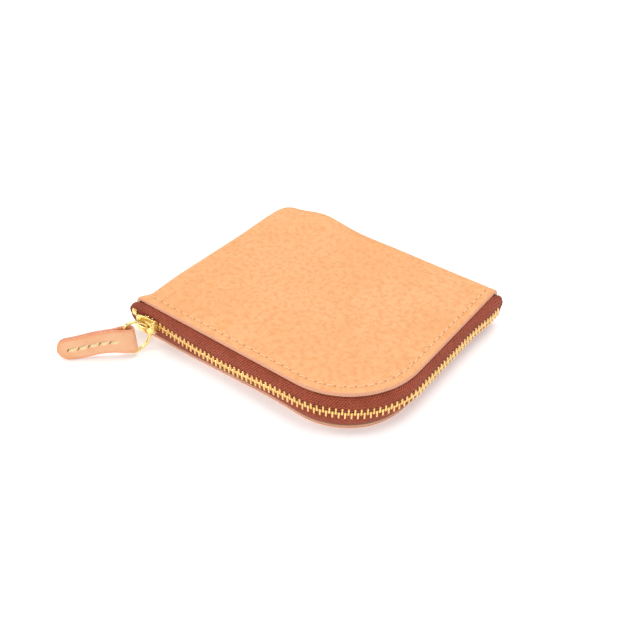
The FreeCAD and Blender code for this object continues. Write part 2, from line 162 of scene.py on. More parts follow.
def join(pieces, name):
    """One object from several."""
    work = bmesh.new()
    for piece in pieces:
        work.from_mesh(piece.data)
    mesh = bpy.data.meshes.new(name)
    work.to_mesh(mesh)
    work.free()
    mesh.materials.append(pieces[0].data.materials[0])
    for piece in pieces:
        bpy.data.objects.remove(piece)
    joined = bpy.data.objects.new(name, mesh)
    bpy.context.scene.collection.objects.link(joined)
    return joined


# ---------------------------------------------------------------- material helpers
class Finish:
    """A procedural material under construction."""

    def __init__(self, name, roughness, metallic=0.0, specular=0.5):
        self.material = bpy.data.materials.new(name)
        self.material.use_nodes = True
        self.tree = self.material.node_tree
        self.shader = self.tree.nodes["Principled BSDF"]
        self.shader.inputs["Roughness"].default_value = roughness
        self.shader.inputs["Metallic"].default_value = metallic
        self.shader.inputs["Specular IOR Level"].default_value = specular
        self.place = self.node("ShaderNodeTexCoord").outputs["Object"]

    def node(self, kind, **settings):
        """A new node with some of its settings."""
        made = self.tree.nodes.new(kind)
        for key, value in settings.items():
            setattr(made, key, value)
        return made

    def link(self, source, target):
        """Feed a socket from another node, a number or a colour."""
        if isinstance(source, (int, float, tuple)):
            target.default_value = source
        else:
            self.tree.links.new(source, target)

    def noise(self, scale, detail=3.0, roughness=0.55):
        """Cloudy noise on the piece's own coordinates."""
        noise = self.node("ShaderNodeTexNoise")
        noise.inputs["Scale"].default_value = scale
        noise.inputs["Detail"].default_value = detail
        noise.inputs["Roughness"].default_value = roughness
        self.link(self.place, noise.inputs["Vector"])
        return noise.outputs["Fac"]

    def cells(self, scale):
        """Distance from the middle of small cells."""
        cells = self.node("ShaderNodeTexVoronoi")
        cells.inputs["Scale"].default_value = scale
        self.link(self.place, cells.inputs["Vector"])
        return cells.outputs["Distance"]

    def math(self, operation, first, second=0.0):
        """One step of arithmetic."""
        step = self.node("ShaderNodeMath", operation=operation)
        for value, socket in zip((first, second), step.inputs):
            self.link(value, socket)
        return step.outputs[0]

    def ramp(self, value, low, high, start=0.0, stop=1.0):
        """Map low..high smoothly to start..stop."""
        step = self.node("ShaderNodeMapRange", interpolation_type="SMOOTHSTEP")
        for item, socket in zip((value, low, high, start, stop), step.inputs):
            self.link(item, socket)
        return step.outputs["Result"]

    def mix(self, amount, first, second):
        """The first colour at 0, the second at 1."""
        mix = self.node("ShaderNodeMix", data_type="RGBA")
        self.link(amount, mix.inputs["Factor"])
        self.link(first, mix.inputs["A"])
        self.link(second, mix.inputs["B"])
        return mix.outputs["Result"]

    def layer(self, name):
        """Across and up of a UV layer."""
        where = self.node("ShaderNodeUVMap", uv_map=name)
        parts = self.node("ShaderNodeSeparateXYZ")
        self.link(where.outputs["UV"], parts.inputs[0])
        return parts.outputs["X"], parts.outputs["Y"]

    def bump(self, height, distance, strength=1.0, under=None):
        """Relief on top of the relief under it."""
        bump = self.node("ShaderNodeBump")
        bump.inputs["Distance"].default_value = distance
        bump.inputs["Strength"].default_value = strength
        self.link(height, bump.inputs["Height"])
        if under is not None:
            self.link(under, bump.inputs["Normal"])
        return bump.outputs["Normal"]

    def colour(self, source):
        self.link(source, self.shader.inputs["Base Color"])

    def roughness(self, source):
        self.link(source, self.shader.inputs["Roughness"])

    def normal(self, source):
        self.link(source, self.shader.inputs["Normal"])


def rgb(red, green, blue):
    """An opaque colour."""
    return (red, green, blue, 1.0)


# ---------------------------------------------------------------- finishes
GRAIN_LIGHT = rgb(0.89, 0.466, 0.214)
GRAIN_DEEP = rgb(0.79, 0.355, 0.133)
# colour of the grain's pores, also used as the painted shade beside the stitch line
PORE_AND_CREASE_SHADE = rgb(0.62, 0.25, 0.085)
CUT_EDGE = rgb(0.85, 0.42, 0.25)
CUT_DARK = rgb(0.68, 0.30, 0.18)
FLESH = rgb(0.72, 0.50, 0.33)
# colour of the painted shade inside the stitch holes
HOLE_SHADE = rgb(0.52, 0.22, 0.07)
HOLE_ROUND = 0.22 * MM       # painted shade in the middle of a stitch hole
HOLE_SOFT = 0.5 * MM         # and where its shade ends
CREASE_WIDE = 0.9 * MM       # shade beside the stitch line
EDGE_LINE = 0.17 * MM        # dark line on the cut edge, below its rim,
EDGE_LINE_HALF = 0.05 * MM   # and half its width
EDGE_FULL = 0.1 * MM         # the cut edge's colour is full up to here
GRAIN_FROM = 0.42 * MM       # and gone from here
WARP_STEP = 0.75 * MM        # between the tape's lengthwise ridges
TWILL_STEP = 1.0 * MM        # between its slanted ridges


def natural_leather():
    """Fine-grained tan leather; the 'edge' layer holds distances along and in from the cut edge."""
    finish = Finish("natural_leather", 0.5, specular=0.35)
    along, inset = finish.layer("edge")
    cloud = finish.noise(42, 4, 0.6)
    mottle = finish.noise(520, 5, 0.62)
    grain = finish.noise(1500, 3, 0.65)
    pebble = finish.cells(1150)
    tone = finish.mix(finish.ramp(cloud, 0.3, 0.75, 0.0, 0.4), GRAIN_LIGHT, GRAIN_DEEP)
    tone = finish.mix(finish.ramp(mottle, 0.42, 0.64, 0.0, 0.8), tone, GRAIN_DEEP)
    tone = finish.mix(finish.ramp(finish.noise(850, 4, 0.7), 0.52, 0.68, 0.0, 0.2), tone, PORE_AND_CREASE_SHADE)
    tone = finish.mix(finish.ramp(grain, 0.54, 0.70, 0.0, 0.3), tone, PORE_AND_CREASE_SHADE)

    beside = finish.math("ABSOLUTE", finish.math("SUBTRACT", inset, STITCH_INSET))
    step = finish.math("FRACT", finish.math("DIVIDE", along, STITCH_PITCH))
    from_middle = finish.math("ABSOLUTE", finish.math("SUBTRACT", step, 0.5))
    from_hole = finish.math("MULTIPLY", from_middle, STITCH_PITCH)
    squares = finish.math("ADD", finish.math("POWER", beside, 2.0), finish.math("POWER", from_hole, 2.0))
    reach = finish.math("SQRT", squares)
    sewn = finish.math("GREATER_THAN", along, STITCH_START)
    # painted shade: a dark spot at each stitch hole; the same mask also sinks the bump there
    hole = finish.math("MULTIPLY", finish.ramp(reach, HOLE_ROUND, HOLE_SOFT, 1.0, 0.0), sewn)
    # painted shade in the stitch groove, darkest on the stitch line
    crease_shade = finish.ramp(beside, 0.0, CREASE_WIDE, 1.0, 0.0)
    tone = finish.mix(finish.math("MULTIPLY", crease_shade, 0.10), tone, PORE_AND_CREASE_SHADE)
    # painted shade in the stitch holes
    tone = finish.mix(finish.math("MULTIPLY", hole, 0.85), tone, HOLE_SHADE)

    fibres = finish.noise(2600, 4, 0.7)
    cut = finish.mix(finish.ramp(fibres, 0.35, 0.7), CUT_EDGE, CUT_DARK)
    from_line = finish.math("ABSOLUTE", finish.math("ADD", inset, EDGE_LINE))
    cut = finish.mix(finish.ramp(from_line, 0.0, EDGE_LINE_HALF, 0.45, 0.0), cut, CUT_DARK)
    tone = finish.mix(finish.ramp(inset, EDGE_FULL, GRAIN_FROM, 1.0, 0.0), tone, cut)
    tone = finish.mix(finish.ramp(inset, -0.9 * MM, -0.6 * MM, 1.0, 0.0), tone, FLESH)
    finish.colour(tone)
    finish.roughness(finish.ramp(grain, 0.3, 0.7, 0.42, 0.62))

    broad = finish.bump(finish.noise(120, 4, 0.6), 0.35 * MM, 0.5)
    pebbled = finish.bump(pebble, 0.10 * MM, 0.55, broad)
    fine = finish.bump(grain, 0.09 * MM, 0.7, pebbled)
    sunk = finish.bump(finish.math("SUBTRACT", 1.0, hole), 0.15 * MM, 0.5, fine)
    finish.normal(sunk)
    return finish.material


def tab_leather():
    """The pull's leather; the 'strip' layer holds the distance along and in from the edge."""
    finish = Finish("tab_leather", 0.48, specular=0.35)
    along, inset = finish.layer("strip")
    cloud = finish.noise(90, 4, 0.6)
    grain = finish.noise(1500, 3, 0.65)
    tone = finish.mix(finish.ramp(cloud, 0.35, 0.7), rgb(0.87, 0.49, 0.28), rgb(0.80, 0.41, 0.21))
    tone = finish.mix(finish.ramp(grain, 0.56, 0.74, 0.0, 0.25), tone, PORE_AND_CREASE_SHADE)
    fibres = finish.noise(1500, 4, 0.7)
    rim = finish.mix(finish.ramp(fibres, 0.35, 0.7), rgb(0.82, 0.40, 0.26), rgb(0.62, 0.24, 0.14))
    tone = finish.mix(finish.ramp(inset, 0.35 * MM, 1.2 * MM, 0.85, 0.0), tone, rgb(0.88, 0.34, 0.13))
    tone = finish.mix(finish.ramp(inset, 0.02 * MM, 0.3 * MM, 1.0, 0.0), tone, rim)
    finish.colour(tone)
    finish.roughness(finish.ramp(grain, 0.3, 0.7, 0.4, 0.6))
    broad = finish.bump(finish.noise(200, 4, 0.6), 0.25 * MM, 0.4)
    finish.normal(finish.bump(grain, 0.08 * MM, 0.7, broad))
    return finish.material


def tape_weave():
    """Brown zip tape; the 'weave' layer runs along the tape and across it."""
    finish = Finish("tape_weave", 0.85, specular=0.15)
    along, across = finish.layer("weave")
    warp = finish.math("SINE", finish.math("MULTIPLY", across, 2 * math.pi / WARP_STEP))
    lean = finish.math("ADD", along, finish.math("MULTIPLY", across, 0.8))
    twill = finish.math("SINE", finish.math("MULTIPLY", lean, 2 * math.pi / TWILL_STEP))
    weave = finish.math("ADD", finish.math("MULTIPLY", warp, 0.3), finish.math("MULTIPLY", twill, 0.5))
    fuzz = finish.noise(1900, 4, 0.7)
    tone = finish.mix(finish.ramp(weave, -0.7, 0.7), rgb(0.13, 0.020, 0.010), rgb(0.47, 0.10, 0.052))
    tone = finish.mix(finish.ramp(fuzz, 0.42, 0.66, 0.0, 0.6), tone, rgb(0.52, 0.13, 0.075))
    tone = finish.mix(finish.ramp(finish.noise(160, 3), 0.4, 0.7, 0.0, 0.35), tone, rgb(0.22, 0.045, 0.02))
    finish.colour(tone)
    finish.shader.inputs["Sheen Weight"].default_value = 0.06
    finish.shader.inputs["Sheen Roughness"].default_value = 0.5
    lift = finish.bump(weave, 0.15 * MM, 0.8)
    finish.normal(finish.bump(fuzz, 0.05 * MM, 0.6, lift))
    return finish.material


def brass(name, tone, deep, roughness, wear):
    """Polished brass with faint casting waves and tarnish."""
    finish = Finish(name, roughness, metallic=1.0)
    cloud = finish.noise(500, 4, 0.6)
    finish.colour(finish.mix(finish.ramp(cloud, 0.4, 0.7, 0.0, wear), tone, deep))
    finish.roughness(finish.ramp(finish.noise(1400, 4, 0.7), 0.3, 0.75, roughness * 0.7, roughness * 1.6))
    finish.normal(finish.bump(finish.noise(700, 3, 0.6), 0.04 * MM, 0.35))
    return finish.material


def thread(name, tone, shade):
    """Waxed twisted thread; in dark tones the same finish is the painted shade of the awl slits."""
    finish = Finish(name, 0.55, specular=0.4)
    fibre = finish.noise(2200, 4, 0.7)
    finish.colour(finish.mix(finish.ramp(fibre, 0.35, 0.7), tone, shade))
    finish.normal(finish.bump(fibre, 0.08 * MM, 0.7))
    return finish.material


LEATHER_FINISH = natural_leather()
TAB_FINISH = tab_leather()
TAPE_FINISH = tape_weave()
TOOTH_BRASS = brass("tooth_brass", rgb(0.95, 0.66, 0.27), rgb(0.60, 0.34, 0.10), 0.28, 0.5)
GOLD_BRASS = brass("gold_brass", rgb(0.95, 0.79, 0.33), rgb(0.88, 0.64, 0.17), 0.27, 0.35)
FINE_THREAD = thread("fine_thread", rgb(0.97, 0.66, 0.39), rgb(0.88, 0.54, 0.28))
THICK_THREAD = thread("thick_thread", rgb(0.93, 0.78, 0.45), rgb(0.76, 0.58, 0.29))
# dark colour painted as the shade inside the awl slits on the tab
SLIT_SHADE_FINISH = thread("awl_slit_shade", rgb(0.36, 0.15, 0.05), rgb(0.22, 0.085, 0.03))


# ---------------------------------------------------------------- the line of the zip
STRAIGHT = RIGHT - LEFT - ZIP_CORNER
BEND_X = RIGHT - ZIP_CORNER
BEND_Y = FRONT + ZIP_CORNER
BEND = (ZIP_CORNER + CHAIN_OUT) * math.pi / 2
ZIP_LENGTH = STRAIGHT + BEND + BACK - BEND_Y
CHAIN_LIE = (          # how the soft pouch lets the chain rise and dip: mm along the zip, mm up
    (0, 0.9), (12, 0.8), (22, -0.1), (36, -1.1), (48, -0.9), (60, 0.0), (72, 0.9), (88, 1.1),
    (102, 0.6), (116, 0.6), (130, 0.5), (150, 0.5), (164, 0.2), (172, -0.3), (180, 0.3),
)
CHAIN_SPRING = (       # and how far it springs out beyond its even line
    (0, 0.0), (60, 0.0), (100, 0.1), (140, 0.2), (160, 0.4), (170, 1.0), (176, 0.9), (180, 0.3),
)
LOWER_RECESS = (       # how far the lower panel's edge is pulled in under the upper one
    (0, 0.0), (25, 0.1), (45, 0.9), (65, 1.5), (82, 0.8), (98, 0.7), (110, 1.7), (122, 2.6),
    (150, 3.1), (180, 2.3),
)
SEAM = {"upper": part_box("upper_panel")[0].z, "lower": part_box("lower_panel")[1].z}


def smooth(value, low, high):
    """0 below low, 1 above high, smooth between."""
    t = np.clip((np.asarray(value, float) - low) / (high - low), 0, 1)
    return t * t * (3 - 2 * t)


def zip_place(out, along, height):
    """Points `out` beyond the cut edge of the leather, `along` from the left side."""
    out, along, height = np.broadcast_arrays(*(np.asarray(v, float) for v in (out, along, height)))
    turn = np.clip((along - STRAIGHT) / BEND, 0, 1) * math.pi / 2
    reach = ZIP_CORNER + out
    across = BEND_X + reach * np.sin(turn) + np.minimum(along - STRAIGHT, 0)
    deep = BEND_Y - reach * np.cos(turn) + np.maximum(along - STRAIGHT - BEND, 0)
    return np.stack([across, deep, height], axis=-1)


def eased(knots, along):
    """A smooth run through knots of (mm along, mm), in metres."""
    where, value = np.array(knots).T * MM
    slope = np.gradient(value, where)
    along = np.clip(along, where[0], where[-1])
    k = np.clip(np.searchsorted(where, along, side="right") - 1, 0, len(where) - 2)
    step = where[k + 1] - where[k]
    t = (along - where[k]) / step
    start = (1 + 2 * t) * (1 - t) ** 2 * value[k] + t * (1 - t) ** 2 * step * slope[k]
    return start + t ** 2 * (3 - 2 * t) * value[k + 1] + t ** 2 * (t - 1) * step * slope[k + 1]


def chain_place(along):
    """The middle of the chain."""
    return zip_place(CHAIN_OUT + eased(CHAIN_SPRING, along), along, CHAIN_HEIGHT + eased(CHAIN_LIE, along))


# ---------------------------------------------------------------- panels
def from_sewn(x, y):
    """Distance in from the two sewn sides."""
    dx, dy = x - LEFT, BACK - y
    in_corner = (dx < BACK_CORNER) & (dy < BACK_CORNER)
    round_off = BACK_CORNER - np.hypot(BACK_CORNER - dx, BACK_CORNER - dy)
    return np.where(in_corner, round_off, np.minimum(dx, dy))


def from_zip(x, y):
    """Distance in from the cut edge along the zip, and the distance along the stitch line."""
    dx, dy = x - BEND_X, BEND_Y - y
    stitch_round = ZIP_CORNER - STITCH_INSET
    in_corner = (dx > 0) & (dy > 0)
    inset = np.where(in_corner, ZIP_CORNER - np.hypot(dx, dy), np.minimum(y - FRONT, RIGHT - x))
    on_front = (y - FRONT) < (RIGHT - x)
    turn = np.arctan2(np.maximum(dx, 0), np.maximum(dy, 1e-9))
    along = np.where(on_front, STRAIGHT + dx, STRAIGHT + stitch_round * math.pi / 2 - dy)
    along = np.where(in_corner, STRAIGHT + stitch_round * turn, along)
    return inset, along


def side_rounding(x, y):
    """Width of the rounding of the sewn sides: full at the left, tight at the back."""
    dx, dy = x - LEFT, BACK - y
    in_corner = (dx < BACK_CORNER) & (dy < BACK_CORNER)
    turn = np.arctan2(np.maximum(BACK_CORNER - dy, 0), np.maximum(BACK_CORNER - dx, 1e-9)) / (math.pi / 2)
    to_back = np.where(in_corner, turn, np.where(dy < dx, 1.0, 0.0))
    droop = DROOP * (1 - smooth(y - FRONT, 0, DROOP_LONG))
    nose = NOSE * (1 - smooth(y - FRONT, 0, NOSE_LONG))
    left = SIDE_ROUND + droop - nose
    return left + (BACK_ROUND - left) * smooth(to_back, 0, 1)


def side_fall(x, y):
    """Height of the rounded side as a share of the full height."""
    wide = side_rounding(x, y)
    drop = np.clip((wide - from_sewn(x, y)) / wide, 0, 1)
    return np.sqrt(np.maximum(1 - drop ** 2, 0))


EDGE_RINGS = np.array([0, 0.12, 0.35, 0.8, 1.5, 2.3, 2.7, 3.0, 3.3, 3.8, 4.8]) * MM
SIDE_RINGS = (SIDE_ROUND + DROOP) * (1 - np.cos(np.radians(np.arange(0, 91, 6))))
SPACING = 1.25 * MM
NEAR_RIM = 0.12 * MM       # no plan point lies nearer to a rounded end than this
ON_RIM = 1e-6              # and this near, a point is on the rim


def spaced(start, stop):
    """Even steps between two places."""
    count = max(2, int(round(abs(stop - start) / SPACING)) + 1)
    return np.linspace(start, stop, count)


def panel_plan():
    """Plan points, the loop of outline points and the triangles of a panel."""
    rim = EDGE_RINGS[-1] + SPACING
    side = SIDE_RINGS[-1] + SPACING
    ring_y = np.concatenate([FRONT + EDGE_RINGS, spaced(FRONT + rim, BACK - BACK_CORNER)])
    ring_x = np.concatenate([spaced(LEFT + BACK_CORNER, RIGHT - rim), RIGHT - EDGE_RINGS[::-1]])
    quarter = np.radians(np.linspace(0, 90, 13))[1:-1]
    groups = []
    for d in SIDE_RINGS:
        groups.append(np.stack([np.full_like(ring_y, LEFT + d), ring_y], 1))
        groups.append(np.stack([ring_x, np.full_like(ring_x, BACK - d)], 1))
        reach = BACK_CORNER - d
        groups.append(np.stack([LEFT + BACK_CORNER - reach * np.cos(quarter),
                                BACK - BACK_CORNER + reach * np.sin(quarter)], 1))
    front_x = spaced(LEFT + side, BEND_X)
    right_y = spaced(BEND_Y, BACK - side)
    sweep_angles = np.radians(np.linspace(0, 90, 37))[1:-1]
    for t in EDGE_RINGS:
        groups.append(np.stack([front_x, np.full_like(front_x, FRONT + t)], 1))
        groups.append(np.stack([np.full_like(right_y, RIGHT - t), right_y], 1))
        reach = ZIP_CORNER - t
        groups.append(np.stack([BEND_X + reach * np.sin(sweep_angles),
                                BEND_Y - reach * np.cos(sweep_angles)], 1))
    grid_x, grid_y = np.meshgrid(spaced(LEFT + side, RIGHT - rim), spaced(FRONT + rim, BACK - side))
    inner = np.stack([grid_x.ravel(), grid_y.ravel()], 1)
    inset, _ = from_zip(inner[:, 0], inner[:, 1])
    slack = 0.3 * SPACING
    inner = inner[(inset > rim - slack) & (from_sewn(inner[:, 0], inner[:, 1]) > side - slack)]
    points = np.concatenate(groups + [inner])

    quarter = np.radians(np.linspace(0, 90, 9))
    low_x, low_y = LEFT + END_CORNER, FRONT + END_CORNER
    high_x, high_y = RIGHT - END_CORNER, BACK - END_CORNER
    ends = np.concatenate([
        np.stack([low_x - END_CORNER * np.cos(quarter), low_y - END_CORNER * np.sin(quarter)], 1),
        np.stack([high_x + END_CORNER * np.cos(quarter), high_y + END_CORNER * np.sin(quarter)], 1)])
    beyond = np.zeros(len(points), bool)
    for cx, cy, turn in ((low_x, low_y, -1), (high_x, high_y, 1)):
        dx, dy = (points[:, 0] - cx) * turn, (points[:, 1] - cy) * turn
        beyond |= (dx > 0) & (dy > 0) & (np.hypot(dx, dy) > END_CORNER - NEAR_RIM)
    points = np.concatenate([points[~beyond], ends])
    points = np.unique(np.round(points, 8), axis=0)

    inset, _ = from_zip(points[:, 0], points[:, 1])
    on_edge = (inset < ON_RIM) | (from_sewn(points[:, 0], points[:, 1]) < ON_RIM)
    for cx, cy, turn in ((low_x, low_y, -1), (high_x, high_y, 1)):
        dx, dy = (points[:, 0] - cx) * turn, (points[:, 1] - cy) * turn
        on_edge |= (dx > 0) & (dy > 0) & (np.hypot(dx, dy) > END_CORNER - ON_RIM)
    edge = np.flatnonzero(on_edge)
    around = np.arctan2(points[edge, 1], points[edge, 0])
    loop = [int(i) for i in edge[np.argsort(around)]]
    found = delaunay_2d_cdt([Vector(p) for p in points], [], [loop], 1, 1e-7)
    plan = np.array([tuple(p) for p in found[0]])
    origin = {old: new for new, olds in enumerate(found[3]) for old in olds}
    return plan, [origin[i] for i in loop], [tuple(f) for f in found[2]]


PUCKERS = (          # where the leather was gathered while sewing: x, y, reach along, reach in, rise
    (-26.0, 38.0, 9.0, 7.0, 3.5),
    (-46.0, 28.0, 6.0, 8.0, 0.8),
    (4.0, 41.0, 16.0, 7.0, 0.7),
)
SWELLS = (           # the soft crown of the full pouch: x, y, reach, reach, rise
    (2.0, 2.0, 38.0, 30.0, 0.7),
    (-20.0, -14.0, 17.0, 13.0, 0.25),
    (22.0, 12.0, 14.0, 18.0, -0.3),
    (-8.0, 22.0, 14.0, 9.0, -0.35),
)


TOP_FADE = 14 * MM       # puckers and swells fade to the cut edge over this
SEWN_FADE = 4 * MM       # and to the sewn sides over this


def rise_of_top(x, y):
    """How far puckers and swells lift the upper panel."""
    rise = np.zeros_like(x)
    for cx, cy, reach_x, reach_y, height in PUCKERS + SWELLS:
        away = ((x / MM - cx) / reach_x) ** 2 + ((y / MM - cy) / reach_y) ** 2
        rise += height * MM * np.exp(-away / 2)
    inset, _ = from_zip(x, y)
    return rise * smooth(inset, 0, TOP_FADE) * smooth(from_sewn(x, y), 0, SEWN_FADE)


RECESS_FADE = 22 * MM    # the recess fades inward over this
RECESS_START = 9 * MM    # and from the sewn sides over this


def recess(x, y):
    """Shift in plan that pulls the lower panel in under the upper one, fading inward."""
    inset, along = from_zip(x, y)
    dx, dy = np.maximum(x - BEND_X, 0), np.maximum(BEND_Y - y, 0)
    on_front = (y - FRONT) < (RIGHT - x)
    in_corner = (dx > 0) & (dy > 0)
    reach = np.maximum(np.hypot(dx, dy), 1e-9)
    out_x = np.where(in_corner, dx / reach, np.where(on_front, 0.0, 1.0))
    out_y = np.where(in_corner, -dy / reach, np.where(on_front, -1.0, 0.0))
    fade = (1 - smooth(inset, 0, RECESS_FADE)) * smooth(from_sewn(x, y), 0, RECESS_START)
    amount = eased(LOWER_RECESS, along) * fade
    return -np.stack([out_x * amount, out_y * amount], 1)


def point_normals(points, faces):
    """Normals of a mesh of triangles at its points."""
    normals = np.zeros_like(points)
    corners = points[faces]
    turned = np.cross(corners[:, 1] - corners[:, 0], corners[:, 2] - corners[:, 0])
    for k in range(3):
        np.add.at(normals, faces[:, k], turned)
    return normals / np.linalg.norm(normals, axis=1, keepdims=True)


EDGE_WEAR = 0.35 * MM      # rounding of the burnished cut edge
WALL_MARK = -0.3 * MM      # value in the edge layer for the cut edge
FLESH_MARK = -2 * MM       # and for the flesh side
WALL_AT = 0.65             # the cut edge's middle ring, from the grain side to the flesh side
CHANNEL_DEEP = 0.14 * MM   # groove that the stitches lie in
CHANNEL_WIDE = 0.45 * MM


def make_panel(name, plan):
    """One panel: grain side, flesh side and cut edge, as a closed shell."""
    flat, loop, triangles = plan
    upper = name == "upper"
    x, y = flat[:, 0], flat[:, 1]
    inset, along = from_zip(x, y)
    seam_height = SEAM[name] if upper else TOP - SEAM[name]
    height = seam_height + (TOP - seam_height) * side_fall(x, y)
    if upper:
        height = height + rise_of_top(x, y)
    base = np.stack([x, y, height], 1)
    faces = np.array(triangles)
    normals = point_normals(base, faces)
    on_seam = from_sewn(x, y) < ON_RIM
    normals[on_seam, 2] = 0
    normals /= np.linalg.norm(normals, axis=1, keepdims=True)
    inner = base - LEATHER * normals

    rim = np.zeros(len(flat), bool)
    rim[loop] = True
    cut = rim & ~on_seam
    inset = np.where(cut, 0, inset)
    worn = np.clip((EDGE_WEAR - inset) / EDGE_WEAR, 0, 1)
    outer = base - normals * (EDGE_WEAR * (1 - np.sqrt(np.maximum(1 - worn ** 2, 0))))[:, None]
    channel = CHANNEL_DEEP * np.exp(-((inset - STITCH_INSET) / CHANNEL_WIDE) ** 2)
    outer = outer - normals * channel[:, None]

    count = len(flat)
    wall = ((1 - WALL_AT) * outer + WALL_AT * inner)[loop]
    points = np.concatenate([outer, inner, wall])
    if not upper:
        points[:, 2] = TOP - points[:, 2]
        points[:, :2] += recess(points[:, 0], points[:, 1])
    ring_outer = loop
    ring_inner = [count + i for i in loop]
    ring_wall = [2 * count + k for k in range(len(loop))]
    shell = [tuple(f) for f in triangles]
    shell += [tuple(count + i for i in reversed(f)) for f in triangles]
    shell += strip_faces(ring_wall, ring_outer)
    shell += strip_faces(ring_inner, ring_wall)
    if not upper:
        shell = [tuple(reversed(f)) for f in shell]
    piece = new_piece(f"{name}_panel_leather", points, shell, LEATHER_FINISH)
    marks = np.concatenate([
        np.stack([along, inset], 1),
        np.stack([along, np.full(count, FLESH_MARK)], 1),
        np.stack([along[loop], np.full(len(loop), WALL_MARK)], 1)])
    add_layer(piece, "edge", marks)
    return piece


def surface_height(x, y):
    """Height of the upper panel's grain side."""
    return SEAM["upper"] + (TOP - SEAM["upper"]) * side_fall(x, y) + rise_of_top(x, y)


# ---------------------------------------------------------------- zip tape
TAPE_UNDER = 7 * MM
TAPE_BEND = 2.5 * MM
TAPE_CLEAR = 0.1 * MM        # from the tape to the leather over it
TAPE_HELD = 0.2 * MM         # flat part that is left at the tape's ends
BEAD_RISE = 0.5 * MM         # from the cord's middle to the neck above it
NECK_RISE = 1.1 * MM         # and to the even tape
TAPE_STEP = 0.8 * MM         # between sections
END_STEPS = np.array([0, 0.12, 0.3, 0.6, 1.0, 1.5]) * MM
TAIL_LEFT = 1.8 * MM         # tape past the leather, at the left side
TAIL_BACK = 1.0 * MM         # and at the back
TUCK_FROM = 1.5 * MM         # the tape comes out from under the leather between these
TUCK_TO = 9 * MM             # distances from its ends
END_ROUND = 4.2 * MM         # its ends are cut round
END_SINK = 1.7 * MM          # its top lies lower there
END_DROP = 3.4 * MM          # and ends this far down
CLOSED_FROM = 3.5 * MM       # the two cords are sewn together nearer to the ends than this
CLOSED_TO = 8 * MM           # and lie free from here on
CORD = 0.62 * MM             # radius of the corded edge
CORD_FROM_CHAIN = 1.3 * MM
CORD_CLOSED = 0.6 * MM       # how much nearer the two cords lie at the ends
BELLY = 0.25 * MM            # the tape's upright part bulges
SLOUCHES = (                 # and wavers: how far, over what length, and where it starts
    (0.14 * MM, 11 * MM, 0),
    (0.08 * MM, 4.3 * MM, 1),
)


def tape_line(along, upper):
    """The tape's middle line at one place: (out, height) pairs from the corded edge inward."""
    from_end = min(along + TAIL_LEFT, ZIP_LENGTH + TAIL_BACK - along)
    tuck = float(smooth(from_end, TUCK_FROM, TUCK_TO))
    lift = float(eased(CHAIN_LIE, along)) * (1 if upper else -1)
    out = CHAIN_OUT + float(eased(CHAIN_SPRING, along))
    full = TOP - LEATHER - TAPE / 2 - TAPE_CLEAR
    fall = max(0.0, (END_ROUND - from_end) / END_ROUND)
    top = full - END_SINK * (1 - tuck) - END_DROP * (1 - math.sqrt(max(0.0, 1 - fall ** 2)))
    bend = TAPE_BEND * (0.25 + 0.75 * tuck) + (out - CHAIN_OUT) * 0.6
    under = TAPE_HELD + (TAPE_UNDER + CHAIN_OUT - TAPE_BEND) * tuck
    closed = CORD_CLOSED * (1 - float(smooth(from_end, CLOSED_FROM, CLOSED_TO)))
    foot = CHAIN_HEIGHT + lift + CORD_FROM_CHAIN - closed
    slouch = sum(far * math.sin(along / length + start) for far, length, start in SLOUCHES)
    line = [(out, foot), (out, foot + BEAD_RISE)]
    rise = np.linspace(foot + NECK_RISE, top - bend, 5)
    for k, height in enumerate(rise):
        belly = math.sin(math.pi * (k + 0.5) / 5)
        line.append((out + (BELLY + slouch) * belly * tuck, height))
    for angle in np.radians([22.5, 45, 67.5, 90]):
        line.append((out - bend * (1 - math.cos(angle)), top - bend * (1 - math.sin(angle))))
    line.append((out - bend - under * 0.5, top))
    line.append((out - bend - under, top))
    return np.array(line)


def tape_section(line):
    """Outline of the tape round its middle line: a bead at the cord, then even thickness."""
    tangent = np.gradient(line, axis=0)
    tangent /= np.linalg.norm(tangent, axis=1, keepdims=True)
    side = np.stack([tangent[:, 1], -tangent[:, 0]], 1)
    outside = line[1:] + side[1:] * TAPE / 2
    inside = line[1:] - side[1:] * TAPE / 2
    bead = [line[0] + CORD * np.array([math.cos(a), math.sin(a)])
            for a in np.radians([35, 0, -45, -90, -135, -180, -215])]
    return np.concatenate([outside[::-1], bead, inside])


def make_tape(name):
    """Woven tape: sewn under the panel, bent over its edge and down to the corded edge."""
    stations = np.arange(-TAIL_LEFT, ZIP_LENGTH + TAIL_BACK, TAPE_STEP)[3:-3]
    ends = [END_STEPS - TAIL_LEFT, ZIP_LENGTH + TAIL_BACK - END_STEPS]
    stations = np.unique(np.concatenate([stations] + ends))
    sections, marks = [], []
    for along in stations:
        section = tape_section(tape_line(along, name == "upper"))
        out = section[:, 0]
        if name == "lower":
            started = float(smooth(min(along, ZIP_LENGTH - along), 0, RECESS_START))
            pulled = float(eased(LOWER_RECESS, along)) * started
            out = out - pulled * smooth(section[:, 1], CHAIN_HEIGHT + 1 * MM, TOP - LEATHER)
        place = zip_place(out, along, section[:, 1])
        if name == "lower":
            place[:, 2] = TOP - place[:, 2]
        sections.append(place)
        around = np.concatenate([[0], np.cumsum(np.linalg.norm(np.diff(section, axis=0), axis=1))])
        marks.append(np.stack([np.full(len(section), along), around], 1))
    piece = sweep(f"{name}_zip_tape", sections, TAPE_FINISH, layer="weave", uvs=np.concatenate(marks))
    return recalculate(piece)


# ---------------------------------------------------------------- what repeats
def flat_piece(name, sections, material):
    """A small solid with flat facets through stacked closed sections."""
    piece = recalculate(sweep(name, sections, material))
    piece.data.polygons.foreach_set("use_smooth", [False] * len(piece.data.polygons))
    return piece


